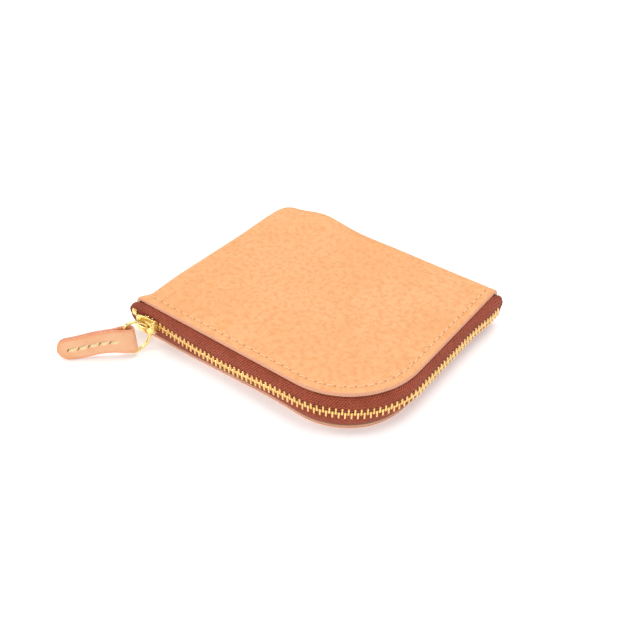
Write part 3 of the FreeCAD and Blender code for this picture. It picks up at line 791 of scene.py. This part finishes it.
def tree_with(name, inputs):
    """A Geometry Nodes tree with named inputs."""
    tree = bpy.data.node_groups.new(name, "GeometryNodeTree")
    tree.interface.new_socket("Geometry", in_out="INPUT", socket_type="NodeSocketGeometry")
    for label, kind in inputs:
        tree.interface.new_socket(label, in_out="INPUT", socket_type=kind)
    tree.interface.new_socket("Geometry", in_out="OUTPUT", socket_type="NodeSocketGeometry")
    return tree


def repeat_tree():
    """Copies of a unit at even steps along a path, x along the path, each a little different."""
    tree = tree_with("copies_along_a_path", [
        ("Unit", "NodeSocketObject"), ("Pitch", "NodeSocketFloat"),
        ("Unevenness", "NodeSocketFloat"), ("Finish", "NodeSocketMaterial")])
    nodes, links = tree.nodes, tree.links
    given = nodes.new("NodeGroupInput")
    result = nodes.new("NodeGroupOutput")
    curve = nodes.new("GeometryNodeMeshToCurve")
    steps = nodes.new("GeometryNodeResampleCurve")
    steps.mode = "LENGTH"
    tangent = nodes.new("GeometryNodeInputTangent")
    ahead = nodes.new("FunctionNodeAlignRotationToVector")
    ahead.axis = "X"
    upright = nodes.new("FunctionNodeAlignRotationToVector")
    upright.axis = "Z"
    upright.pivot_axis = "X"
    upright.inputs["Vector"].default_value = (0, 0, 1)
    unit = nodes.new("GeometryNodeObjectInfo")
    copies = nodes.new("GeometryNodeInstanceOnPoints")
    tilt = nodes.new("FunctionNodeRandomValue")
    tilt.data_type = "FLOAT_VECTOR"
    tilt.inputs["Seed"].default_value = 7
    span = nodes.new("ShaderNodeVectorMath")
    span.operation = "SCALE"
    span.inputs[0].default_value = (1, 1, 1)
    back = nodes.new("ShaderNodeVectorMath")
    back.operation = "SCALE"
    back.inputs[0].default_value = (-1, -1, -1)
    turn = nodes.new("GeometryNodeRotateInstances")
    realize = nodes.new("GeometryNodeRealizeInstances")
    finish = nodes.new("GeometryNodeSetMaterial")
    links.new(given.outputs["Geometry"], curve.inputs["Mesh"])
    links.new(curve.outputs["Curve"], steps.inputs["Curve"])
    links.new(given.outputs["Pitch"], steps.inputs["Length"])
    links.new(tangent.outputs["Tangent"], ahead.inputs["Vector"])
    links.new(ahead.outputs["Rotation"], upright.inputs["Rotation"])
    links.new(steps.outputs["Curve"], copies.inputs["Points"])
    links.new(given.outputs["Unit"], unit.inputs["Object"])
    links.new(unit.outputs["Geometry"], copies.inputs["Instance"])
    links.new(upright.outputs["Rotation"], copies.inputs["Rotation"])
    links.new(given.outputs["Unevenness"], span.inputs["Scale"])
    links.new(given.outputs["Unevenness"], back.inputs["Scale"])
    links.new(back.outputs["Vector"], tilt.inputs["Min"])
    links.new(span.outputs["Vector"], tilt.inputs["Max"])
    links.new(copies.outputs["Instances"], turn.inputs["Instances"])
    links.new(tilt.outputs["Value"], turn.inputs["Rotation"])
    links.new(turn.outputs["Instances"], realize.inputs["Geometry"])
    links.new(realize.outputs["Geometry"], finish.inputs["Geometry"])
    links.new(given.outputs["Finish"], finish.inputs["Material"])
    links.new(finish.outputs["Geometry"], result.inputs["Geometry"])
    return tree


REPEAT = repeat_tree()
FIT = 0.9999             # a step just under even, so that the last copy is kept


def repeat_along(name, path, unit, pitch, unevenness, material):
    """A piece made of copies of unit at even steps along the path."""
    mesh = bpy.data.meshes.new(name)
    mesh.from_pydata([tuple(p) for p in path], [(i, i + 1) for i in range(len(path) - 1)], [])
    piece = bpy.data.objects.new(name, mesh)
    bpy.context.scene.collection.objects.link(piece)
    modifier = piece.modifiers.new("copies", "NODES")
    modifier.node_group = REPEAT
    values = {"Unit": unit, "Pitch": pitch, "Unevenness": unevenness, "Finish": material}
    for item in REPEAT.interface.items_tree:
        if item.item_type == "SOCKET" and item.in_out == "INPUT" and item.name in values:
            modifier[item.identifier] = values[item.name]
    apply_modifiers(piece)
    piece.data.materials.clear()
    piece.data.materials.append(material)
    bpy.data.objects.remove(unit)
    return piece


# ---------------------------------------------------------------- teeth and stops
def chamfered(half_x, half_y, height, cut=0.3):
    """An eight-sided section, as points."""
    cut_x, cut_y = half_x * (1 - cut), half_y * (1 - cut)
    right = [(cut_x, -half_y), (half_x, -cut_y), (half_x, cut_y), (cut_x, half_y)]
    return [(x, y, height) for x, y in right + [(-x, -y) for x, y in right]]


TOOTH_SHAPE = (      # height from the middle of the chain, half width, half depth, all in mm
    (-0.62, 0.30, 0.52),
    (-0.48, 0.44, 0.72),
    (0.30, 0.47, 0.78),
    (0.62, 0.36, 0.80),
    (1.30, 0.37, 0.86),
    (1.95, 0.36, 0.84),
    (2.15, 0.24, 0.62),
)


def tooth_unit(name):
    """One tooth of the upper or lower row, upright on its place on the chain."""
    turn = 1 if name == "upper" else -1
    sections = [chamfered(half_x * MM, half_y * MM, height * MM * turn)
                for height, half_x, half_y in TOOTH_SHAPE]
    return flat_piece("tooth", sections, TOOTH_BRASS)


def make_teeth(name):
    """One row of teeth; the lower row sits half a pitch further along."""
    start = FIRST_TOOTH + (0 if name == "upper" else TOOTH_PITCH / 2)
    count = int((ZIP_LENGTH - LAST_TOOTH - start) / TOOTH_PITCH)
    along = start + np.arange(0, count * 4 + 1) * TOOTH_PITCH / 4
    path = chain_place(along)
    length = np.linalg.norm(np.diff(path, axis=0), axis=1).sum()
    return repeat_along(f"{name}_teeth", path, tooth_unit(name), length / count * FIT, 0.02,
                        TOOTH_BRASS)


def rounded_block(name, low, high, edge):
    """A brass block with generously rounded edges."""
    (x0, y0, z0), (x1, y1, z1) = low, high
    sections = [[(x0, y0, z), (x1, y0, z), (x1, y1, z), (x0, y1, z)] for z in (z0, z1)]
    return soften(recalculate(sweep(name, sections, GOLD_BRASS)), edge)


STOP_EDGE = 0.45 * MM
STOP_SHAPES = {      # shift of its lowest and highest corner from the frame's, in mm, and lean in degrees
    "top_stop_upper": ((0.3, -0.3, -0.5), (0.7, 0.4, -0.1), 12),
    "top_stop_lower": ((1.0, 0.3, 0.3), (1.0, 0.3, 0.3), 0),
    "bottom_stop": ((0.0, 0.0, 0.0), (0.0, 0.0, 0.0), 0),
}


def make_stop(node):
    """A cast clamp over the corded edge of the tape."""
    low_shift, high_shift, lean = STOP_SHAPES[node]
    low, high = (np.array(corner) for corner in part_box(node))
    low, high = low + np.array(low_shift) * MM, high + np.array(high_shift) * MM
    piece = rounded_block(node + "_clamp", tuple(low), tuple(high), STOP_EDGE)
    middle = Vector((low + high) / 2)
    turn = Matrix.Rotation(math.radians(lean), 4, "Y")
    piece.data.transform(Matrix.Translation(middle) @ turn @ Matrix.Translation(-middle))
    return piece


# ---------------------------------------------------------------- stitches
STITCH_HALF = 1.3 * MM       # half the length of a stitch
STITCH_THICK = 0.25 * MM
STITCH_ARCH = 0.14 * MM
STITCH_SLANT = 0.14 * MM
STITCH_SINK = {"upper": 0.10 * MM, "lower": 0.36 * MM}
STITCH_SIDES = 6


def stitch_unit(arch):
    """One stitch: a short arched strand, thinner where it dips into its holes."""
    sections = []
    for t in np.linspace(-1, 1, 7):
        centre = np.array([t * STITCH_HALF, STITCH_SLANT * t, arch * (1 - 2.0 * t ** 2)])
        thick = STITCH_THICK * math.sqrt(max(0.12, 1 - 0.8 * t ** 2))
        sections.append([centre + thick * np.array([0, math.cos(a), math.sin(a)])
                         for a in np.arange(STITCH_SIDES) * 2 * math.pi / STITCH_SIDES])
    return recalculate(sweep("stitch", sections, FINE_THREAD))


def make_edge_thread(name):
    """The stitches that hold one panel to its tape."""
    stitch_round = ZIP_CORNER - STITCH_INSET
    bend = stitch_round * math.pi / 2
    total = STRAIGHT + bend + BACK - BEND_Y
    first = 2 * STITCH_PITCH
    count = int((total - STITCH_START - first) / STITCH_PITCH)
    along = first + np.arange(0, count * 3 + 1) * STITCH_PITCH / 3
    turn = np.clip((along - STRAIGHT) / bend, 0, 1) * math.pi / 2
    x = BEND_X + stitch_round * np.sin(turn) + np.minimum(along - STRAIGHT, 0)
    y = BEND_Y - stitch_round * np.cos(turn) + np.maximum(along - STRAIGHT - bend, 0)
    if name == "upper":
        height = surface_height(x, y) - STITCH_SINK[name]
        unit = stitch_unit(STITCH_ARCH)
    else:
        x, y = np.stack([x, y], 1).T + recess(x, y).T
        height = np.full_like(x, STITCH_SINK[name])
        unit = stitch_unit(-STITCH_ARCH)
    path = np.stack([x, y, height], 1)
    length = np.linalg.norm(np.diff(path, axis=0), axis=1).sum()
    return repeat_along(f"{name}_edge_stitches", path, unit, length / count * FIT, 0.03,
                        FINE_THREAD)


# ---------------------------------------------------------------- slider
SLIDER_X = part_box("slider")[0].x
SLIDER_Y = FRONT - CHAIN_OUT
SLIDER_LIFT = 0.7            # mm, as the chain lies there


def at_slider(along, out, up):
    """Slider's own measures in mm: along the zip, outward, and up from the chain's middle."""
    return (SLIDER_X + along * MM, SLIDER_Y - out * MM, CHAIN_HEIGHT + (up + SLIDER_LIFT) * MM)


def slab(name, outline, near, far, edge):
    """A plate with the given (along, up) outline between two distances out."""
    sections = [[at_slider(a, out, u) for a, u in outline] for out in (near, far)]
    return soften(recalculate(sweep(name, sections, GOLD_BRASS)), edge * MM)


WING_EDGE = (         # upper edge of a wing from the divided end to the tail: along, half width, mm
    (-1.0, 0.6), (-0.9, 1.1), (-0.5, 1.5), (0.4, 1.85), (1.8, 2.15), (3.4, 2.35),
    (5.2, 2.5), (7.0, 2.6), (8.2, 2.7), (8.8, 2.7), (9.0, 2.45),
)
OUTER_WING = (1.0, 1.8)           # how far out each part starts and ends
INNER_WING = (-1.75, -1.0)
DIVIDER_OUT = (-1.3, 1.3)
RIB_OUT = (1.0, 3.0)
FOLD_OUTS = ((0.92, 1.3), (-1.3, -0.92))
DIVIDER = ((0.4, 0), (1.5, -0.8), (2.7, 0), (1.5, 0.8))
TAIL_RIB = ((8.1, -2.4), (9.1, -2.4), (9.1, 2.45), (8.1, 2.45))
FOLD_FROM, FOLD_TO = 3.2, 8.8
FOLD_HALF = 2.2       # middle of the folded edges, from the middle of the chain
FOLD_TALL = 0.6


def make_slider():
    """Two wings, the divider between them, folded edges, the tail rib and the bridge."""
    wing = list(WING_EDGE) + [(a, -u) for a, u in reversed(WING_EDGE)]
    pieces = [
        slab("slider_outer_wing", wing, *OUTER_WING, 0.24),
        slab("slider_inner_wing", wing, *INNER_WING, 0.2),
        slab("slider_divider", DIVIDER, *DIVIDER_OUT, 0.12),
        slab("slider_tail_rib", TAIL_RIB, *RIB_OUT, 0.35),
    ]
    for side in (1, -1):
        low, high = side * FOLD_HALF - FOLD_TALL / 2, side * FOLD_HALF + FOLD_TALL / 2
        outline = [(FOLD_FROM, low), (FOLD_TO, low), (FOLD_TO, high), (FOLD_FROM, high)]
        for near, far in FOLD_OUTS:
            pieces.append(slab("slider_fold", outline, near, far, 0.18))
    pieces.append(make_bridge())
    merged = join(pieces, "zip_slider")
    return merged


BRIDGE_ROUTE = (      # along, out, half width, half thickness, in mm
    (0.7, 1.5, 1.15, 0.50),
    (0.9, 2.6, 1.15, 0.50),
    (1.5, 3.85, 1.15, 0.48),
    (2.9, 4.55, 1.15, 0.45),
    (4.7, 4.70, 1.22, 0.44),
    (6.3, 4.65, 1.32, 0.46),
    (7.75, 4.25, 1.42, 0.46),
    (8.55, 3.1, 1.50, 0.46),
    (8.7, 1.5, 1.45, 0.50),
)
BRIDGE_UP = -0.5          # the bridge's middle, from the chain's
BRIDGE_SIDES = 16


def spline(where, values):
    """Smooth values between whole steps (Catmull-Rom)."""
    padded = np.concatenate([[2 * values[0] - values[1]], values, [2 * values[-1] - values[-2]]])
    index = np.minimum(where.astype(int), len(values) - 2)
    t = where - index
    p0, p1, p2, p3 = (padded[index + k] for k in range(4))
    return 0.5 * (2 * p1 + (p2 - p0) * t + (2 * p0 - 5 * p1 + 4 * p2 - p3) * t ** 2
                  + (3 * p1 - p0 - 3 * p2 + p3) * t ** 3)


def make_bridge():
    """The arched strap that holds the ring, broader at its tail foot."""
    route = np.array(BRIDGE_ROUTE)
    fine = np.linspace(0, len(route) - 1, 33)
    route = np.stack([spline(fine, route[:, k]) for k in range(route.shape[1])], 1)
    tangent = np.gradient(route[:, :2], axis=0)
    tangent /= np.linalg.norm(tangent, axis=1, keepdims=True)
    sections = []
    for (a, out, half_wide, half_thick), (ta, to) in zip(route, tangent):
        section = []
        for angle in np.arange(BRIDGE_SIDES) * 2 * math.pi / BRIDGE_SIDES:
            across = half_wide * np.sign(math.cos(angle)) * abs(math.cos(angle)) ** 0.6
            proud = half_thick * np.sign(math.sin(angle)) * abs(math.sin(angle)) ** 0.7
            section.append(at_slider(a - to * proud, out + ta * proud, BRIDGE_UP + across))
        sections.append(section)
    return recalculate(sweep("slider_bridge", sections, GOLD_BRASS))


# ---------------------------------------------------------------- ring
WIRE = 0.6 * MM
RING_MIDDLE = 7.1 * MM
RING_ROUND = 6.4 * MM
RING_DEEP = 8.8 * MM
RING_CORNER = 1.5 * MM
RING_LEAN = 0.03              # the ring's top tips a little away from the slider
RING_SIDES = 14
RING_HEADING = math.radians(252)
TAB_HEADING = math.radians(222)
PIVOT = np.array(joint["ring_swing"]["pos_m"][:2])
BAR = np.array(joint["tab_swing"]["pos_m"][:2])


def placed(points, origin, heading):
    """Points (forward, aside, up) from an upright line at origin, facing heading."""
    points = np.asarray(points, float)
    ahead = np.array([math.cos(heading), math.sin(heading)])
    aside = np.array([-math.sin(heading), math.cos(heading)])
    flat = np.asarray(origin) + points[..., 0:1] * ahead + points[..., 1:2] * aside
    return np.concatenate([flat, points[..., 2:3]], axis=-1)


def make_ring():
    """The D-shaped wire ring, round towards the slider."""
    arc = [(RING_ROUND - RING_ROUND * math.cos(a), RING_ROUND * math.sin(a))
           for a in np.radians(np.arange(-90, 91, 6))]
    corner = [(RING_DEEP - RING_CORNER + RING_CORNER * math.sin(a),
               RING_ROUND - RING_CORNER + RING_CORNER * math.cos(a))
              for a in np.radians(np.arange(0, 91, 15))]
    route = arc + corner + [(RING_DEEP, 0.0)] + [(a, -u) for a, u in reversed(corner)]
    route = np.array(route)
    tangent = np.roll(route, -1, axis=0) - np.roll(route, 1, axis=0)
    tangent /= np.linalg.norm(tangent, axis=1, keepdims=True)
    angles = np.arange(RING_SIDES) * 2 * math.pi / RING_SIDES
    sections = []
    for (a, u), (ta, tu) in zip(route, tangent):
        lean = u * RING_LEAN
        local = [(a + lean - tu * WIRE * math.cos(g), WIRE * math.sin(g),
                  RING_MIDDLE + u + ta * WIRE * math.cos(g)) for g in angles]
        sections.append(placed(local, PIVOT, RING_HEADING))
    piece = recalculate(sweep("ring_wire", sections, GOLD_BRASS, closed=True))
    return piece


# ---------------------------------------------------------------- pull tab
TAB_LONG = 24.9 * MM
TAB_LAYER = 0.92 * MM
FOLD_MIDDLE = 1.26 * MM       # from the bar to the middle of the leather round the fold
LOOP_MIDDLE = -1.6 * MM       # middle of the fold, from the bar
LOOP_LONG = 5.0 * MM
TAB_BEND = 0.25 * MM          # its sideways curve,
BEND_MIDDLE = 10 * MM         # where that is deepest
BEND_REACH = 5 * MM           # and how far it reaches
TAB_ASIDE = 0.42 * MM         # how far the flat part lies to one side of the bar
TAB_TIP = 4.1 * MM
TAB_BEVEL = 0.4 * MM
TAB_BLUNT = 0.97              # how far the tip closes
TAB_LOW = (           # lower edge of the tab, from the bar to the tip: mm forward, mm up
    (-4, 2.1), (0, 2.1), (7, 2.0), (9, 1.85), (13.5, 1.1), (18, 0.35), (22, 0.05), (25, 0.0),
)
TAB_HIGH = (          # and its upper edge
    (-4, 12.3), (2, 12.5), (9, 11.6), (13, 10.9), (17, 10.0), (21, 9.3), (25, 9.0),
)


def tab_sway(forward):
    """Sideways curve of the tab in plan."""
    bend = -TAB_BEND * np.exp(-((forward - BEND_MIDDLE) / BEND_REACH) ** 2)
    return bend + TAB_ASIDE * smooth(forward, LOOP_MIDDLE, LOOP_LONG)


def tab_heights(forward):
    """Lower and upper edge of the tab, rounded at the tip."""
    low, high = eased(TAB_LOW, forward), eased(TAB_HIGH, forward)
    past = np.clip((forward - (TAB_LONG - TAB_TIP)) / TAB_TIP, 0, 1)
    narrow = (high - low) / 2 * (1 - np.sqrt(np.maximum(1 - past ** 2.2, 0)))
    return low + narrow * TAB_BLUNT, high - narrow * TAB_BLUNT


def strip_line():
    """The folded strip's middle line in plan: (forward, aside), from tip round the bar to tip."""
    half = TAB_LAYER / 2
    out = np.concatenate([np.linspace(LOOP_LONG, TAB_LONG - TAB_TIP, 14),
                          TAB_LONG - TAB_TIP * (1 - np.sin(np.radians(np.linspace(9, 90, 10))))])
    flank = [(f, half + (FOLD_MIDDLE - half) * (1 - smooth(f, 0, LOOP_LONG)))
             for f in np.linspace(LOOP_MIDDLE, LOOP_LONG, 9)[1:-1]]
    fold = [(LOOP_MIDDLE - FOLD_MIDDLE * math.cos(a), FOLD_MIDDLE * math.sin(a))
            for a in np.radians(np.linspace(0, 90, 7))]
    upper = fold + flank + [(f, half) for f in out]
    lower = [(f, -a) for f, a in reversed(upper)]
    return np.array(lower + upper[1:])


def strip_section(low, high):
    """Outline of the strip's cross section: (across, up, distance in from the edge)."""
    half = TAB_LAYER / 2
    edge = min(TAB_BEVEL, (high - low) * 0.3)
    worn = edge * math.sqrt(0.5)
    corner = half - edge + worn
    rise = [low + edge + (high - low - 2 * edge) * step for step in (0, 0.08, 0.25, 0.5, 0.75, 0.92, 1)]
    face = [(half, up, min(up - low, high - up)) for up in rise]
    top = [(corner, high - edge + worn, 0), (0, high, 0), (-corner, high - edge + worn, 0)]
    foot = [(-corner, low + edge - worn, 0), (0, low, 0), (corner, low + edge - worn, 0)]
    return face + top + [(-across, up, inset) for across, up, inset in reversed(face)] + foot


def make_tab():
    """The leather pull: a strip folded round the bar and sewn to itself."""
    line = strip_line()
    line[:, 1] += tab_sway(line[:, 0])
    tangent = np.gradient(line, axis=0)
    tangent /= np.linalg.norm(tangent, axis=1, keepdims=True)
    side = np.stack([tangent[:, 1], -tangent[:, 0]], 1)
    distance = np.concatenate([[0], np.cumsum(np.linalg.norm(np.diff(line, axis=0), axis=1))])
    sections, marks = [], []
    for (f, a), n, run in zip(line, side, distance):
        outline = strip_section(*(float(edge) for edge in tab_heights(f)))
        local = [(f + n[0] * across, a + n[1] * across, up) for across, up, _ in outline]
        sections.append(placed(local, BAR, TAB_HEADING))
        marks += [(run, min(inset, TAB_LONG - f)) for _, _, inset in outline]
    piece = sweep("pull_tab_leather", sections, TAB_FINISH, layer="strip", uvs=np.array(marks))
    return recalculate(piece)


TAB_STITCH_PITCH = 3.8 * MM
TAB_STITCHES = 5
TAB_STITCH_FROM = 3.8 * MM
TAB_STITCH_HALF = 1.9 * MM
TAB_STITCH_LEAN = 0.4 * MM
TAB_STITCH_THICK = 0.66 * MM
TAB_STITCH_BULGE = 0.24 * MM
TAB_STITCH_SUNK = 0.1 * MM
SLIT_HALF = 0.85 * MM
SLIT_THICK = 0.3 * MM
STRAND_SIDES = 8
END_SLANT = 0.35              # how much a strand's round ends slant


def strand(name, centres, radii, deep, tall, material):
    """A tapering strand through the centres, this deep and tall for its thickness."""
    sections = []
    for centre, thick in zip(centres, radii):
        sections.append([
            centre + thick * np.array([END_SLANT * math.sin(a), deep * math.cos(a), tall * math.sin(a)])
            for a in np.arange(STRAND_SIDES) * 2 * math.pi / STRAND_SIDES])
    return recalculate(sweep(name, sections, material))


def tab_stitch_unit(sign):
    """A fat strand, thinner towards its holes, bulging to the side given by sign."""
    steps = np.linspace(-1, 1, 11)
    bulge = sign * TAB_STITCH_BULGE
    centres = [np.array([t * TAB_STITCH_HALF, bulge * (1 - 1.6 * t ** 2), -TAB_STITCH_LEAN * t])
               for t in steps]
    radii = [TAB_STITCH_THICK * max(0.1, 1 - t ** 2) ** 0.5 for t in steps]
    return strand("tab_stitch", centres, radii, 0.7, 1.0, THICK_THREAD)


def slit_unit():
    """One slit's painted shade: a dark strand leaning across the line of stitches, just proud of the
    leather.
    """
    steps = np.linspace(-1, 1, 7)
    centres = [np.array([-t * SLIT_HALF, 0, SLIT_HALF * t]) for t in steps]
    radii = [SLIT_THICK * max(0.1, 1 - t ** 2) ** 0.5 for t in steps]
    return strand("tab_slit", centres, radii, 0.6, 1.0, SLIT_SHADE_FINISH)


def along_tab(name, first, count, sign, unit, material):
    """Copies of a unit along the middle of one face of the tab, a stitch apart."""
    forward = first + np.arange(0, (count - 1) * 3 + 1) * TAB_STITCH_PITCH / 3
    low, high = tab_heights(forward)
    aside = sign * (TAB_LAYER - TAB_STITCH_SUNK) + tab_sway(forward)
    path = placed(np.stack([forward, aside, (low + high) / 2], 1), BAR, TAB_HEADING)
    length = np.linalg.norm(np.diff(path, axis=0), axis=1).sum()
    return repeat_along(name, path, unit, length / (count - 1) * FIT, 0.04, material)


def make_tab_stitches():
    """Thick stitches through both layers, the same on both faces."""
    joined = join([along_tab("tab_stitches", TAB_STITCH_FROM, TAB_STITCHES, sign, tab_stitch_unit(sign),
                             THICK_THREAD) for sign in (1, -1)], "pull_tab_stitches")
    return joined


def make_tab_slits():
    """Dark strands of painted shade for the awl's slanted slits between the stitches."""
    first = TAB_STITCH_FROM - TAB_STITCH_PITCH / 2
    joined = join([along_tab("tab_slits", first, TAB_STITCHES + 1, sign, slit_unit(),
                             SLIT_SHADE_FINISH) for sign in (1, -1)], "pull_tab_awl_slits")
    return joined


# ---------------------------------------------------------------- assembly
plan = panel_plan()
for side_name in ("upper", "lower"):
    for piece, node in (
            (make_panel(side_name, plan), f"{side_name}_panel"),
            (make_tape(side_name), f"zip_tape_{side_name}"),
            (make_teeth(side_name), f"zip_teeth_{side_name}"),
            (make_edge_thread(side_name), f"edge_thread_{side_name}")):
        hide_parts(node)
        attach(piece, "pouch")
for node in sorted(frame["nodes"]):
    if "stop" in node:
        piece = make_stop(node)
        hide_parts(node)
        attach(piece, "pouch")
for piece, node, body in (
        (make_slider(), "slider", "slider"),
        (make_ring(), "pull_ring", "ring"),
        (make_tab(), "pull_tab", "tab"),
        (make_tab_stitches(), "pull_tab_thread", "tab")):
    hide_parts(node)
    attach(piece, body)
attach(make_tab_slits(), "tab")
seam_thread = frame["nodes"]["seam_thread"]
seam_thread.data.materials.clear()
seam_thread.data.materials.append(FINE_THREAD)


# ---------------------------------------------------------------- studio
FLOOR_HALF = 3.0
FLOOR_GLOW = 0.22         # light that the white floor sends back by itself
LIGHTS = (                # name, place, aim, width and power
    ("softbox_above", (0.1, 0.25, 0.9), (0, 0, 0), 0.7, 4.6),
    ("softbox_left", (-0.7, -0.35, 0.55), (0, 0, 0), 0.5, 2.6),
    ("softbox_front", (0.45, -0.7, 0.5), (0, 0, 0.01), 0.6, 2.2),
)
CAMERA_LENS = 42.47
CAMERA_PLACE = (0.1353, -0.17655, 0.1822)
CAMERA_TILT = math.radians(51.02)
CAMERA_HEADING = math.radians(37.29)
SKY = (1, 0.985, 0.97, 1)
SKY_STRENGTH = 0.50


def make_floor():
    """A plain pale floor."""
    floor = Finish("studio_floor", 0.9, specular=0.1)
    floor.shader.inputs["Emission Color"].default_value = rgb(1, 1, 1)
    floor.shader.inputs["Emission Strength"].default_value = FLOOR_GLOW
    cloud = floor.ramp(floor.noise(9, 3), 0.3, 0.7)
    floor.colour(floor.mix(cloud, rgb(0.93, 0.925, 0.92), rgb(0.95, 0.945, 0.94)))
    corners = [(x * FLOOR_HALF, y * FLOOR_HALF, 0) for x, y in ((-1, -1), (1, -1), (1, 1), (-1, 1))]
    piece = new_piece("studio_floor", corners, [(0, 1, 2, 3)], floor.material)


def add_light(name, place, aim, size, power):
    """A round softbox turned to its aim."""
    data = bpy.data.lights.new(name, "AREA")
    data.shape = "DISK"
    data.size = size
    data.energy = power
    lamp = bpy.data.objects.new(name, data)
    lamp.location = place
    lamp.rotation_euler = (Vector(aim) - Vector(place)).to_track_quat("-Z", "Y").to_euler()
    bpy.context.scene.collection.objects.link(lamp)


def make_camera():
    """The camera, from the front right and above."""
    data = bpy.data.cameras.new("camera")
    data.lens = CAMERA_LENS
    data.sensor_width = 36
    data.clip_start = 0.01
    data.clip_end = 20
    camera = bpy.data.objects.new("camera", data)
    camera.location = CAMERA_PLACE
    camera.rotation_euler = Euler((CAMERA_TILT, 0, CAMERA_HEADING))
    bpy.context.scene.collection.objects.link(camera)
    bpy.context.scene.camera = camera


def make_world():
    """Even, slightly warm light all round."""
    world = bpy.data.worlds.new("studio")
    bpy.context.scene.world = world
    world.use_nodes = True
    background = world.node_tree.nodes["Background"]
    background.inputs["Color"].default_value = SKY
    background.inputs["Strength"].default_value = SKY_STRENGTH


make_floor()
make_world()
for light in LIGHTS:
    add_light(*light)
make_camera()
bpy.context.scene.view_settings.view_transform = "Standard"
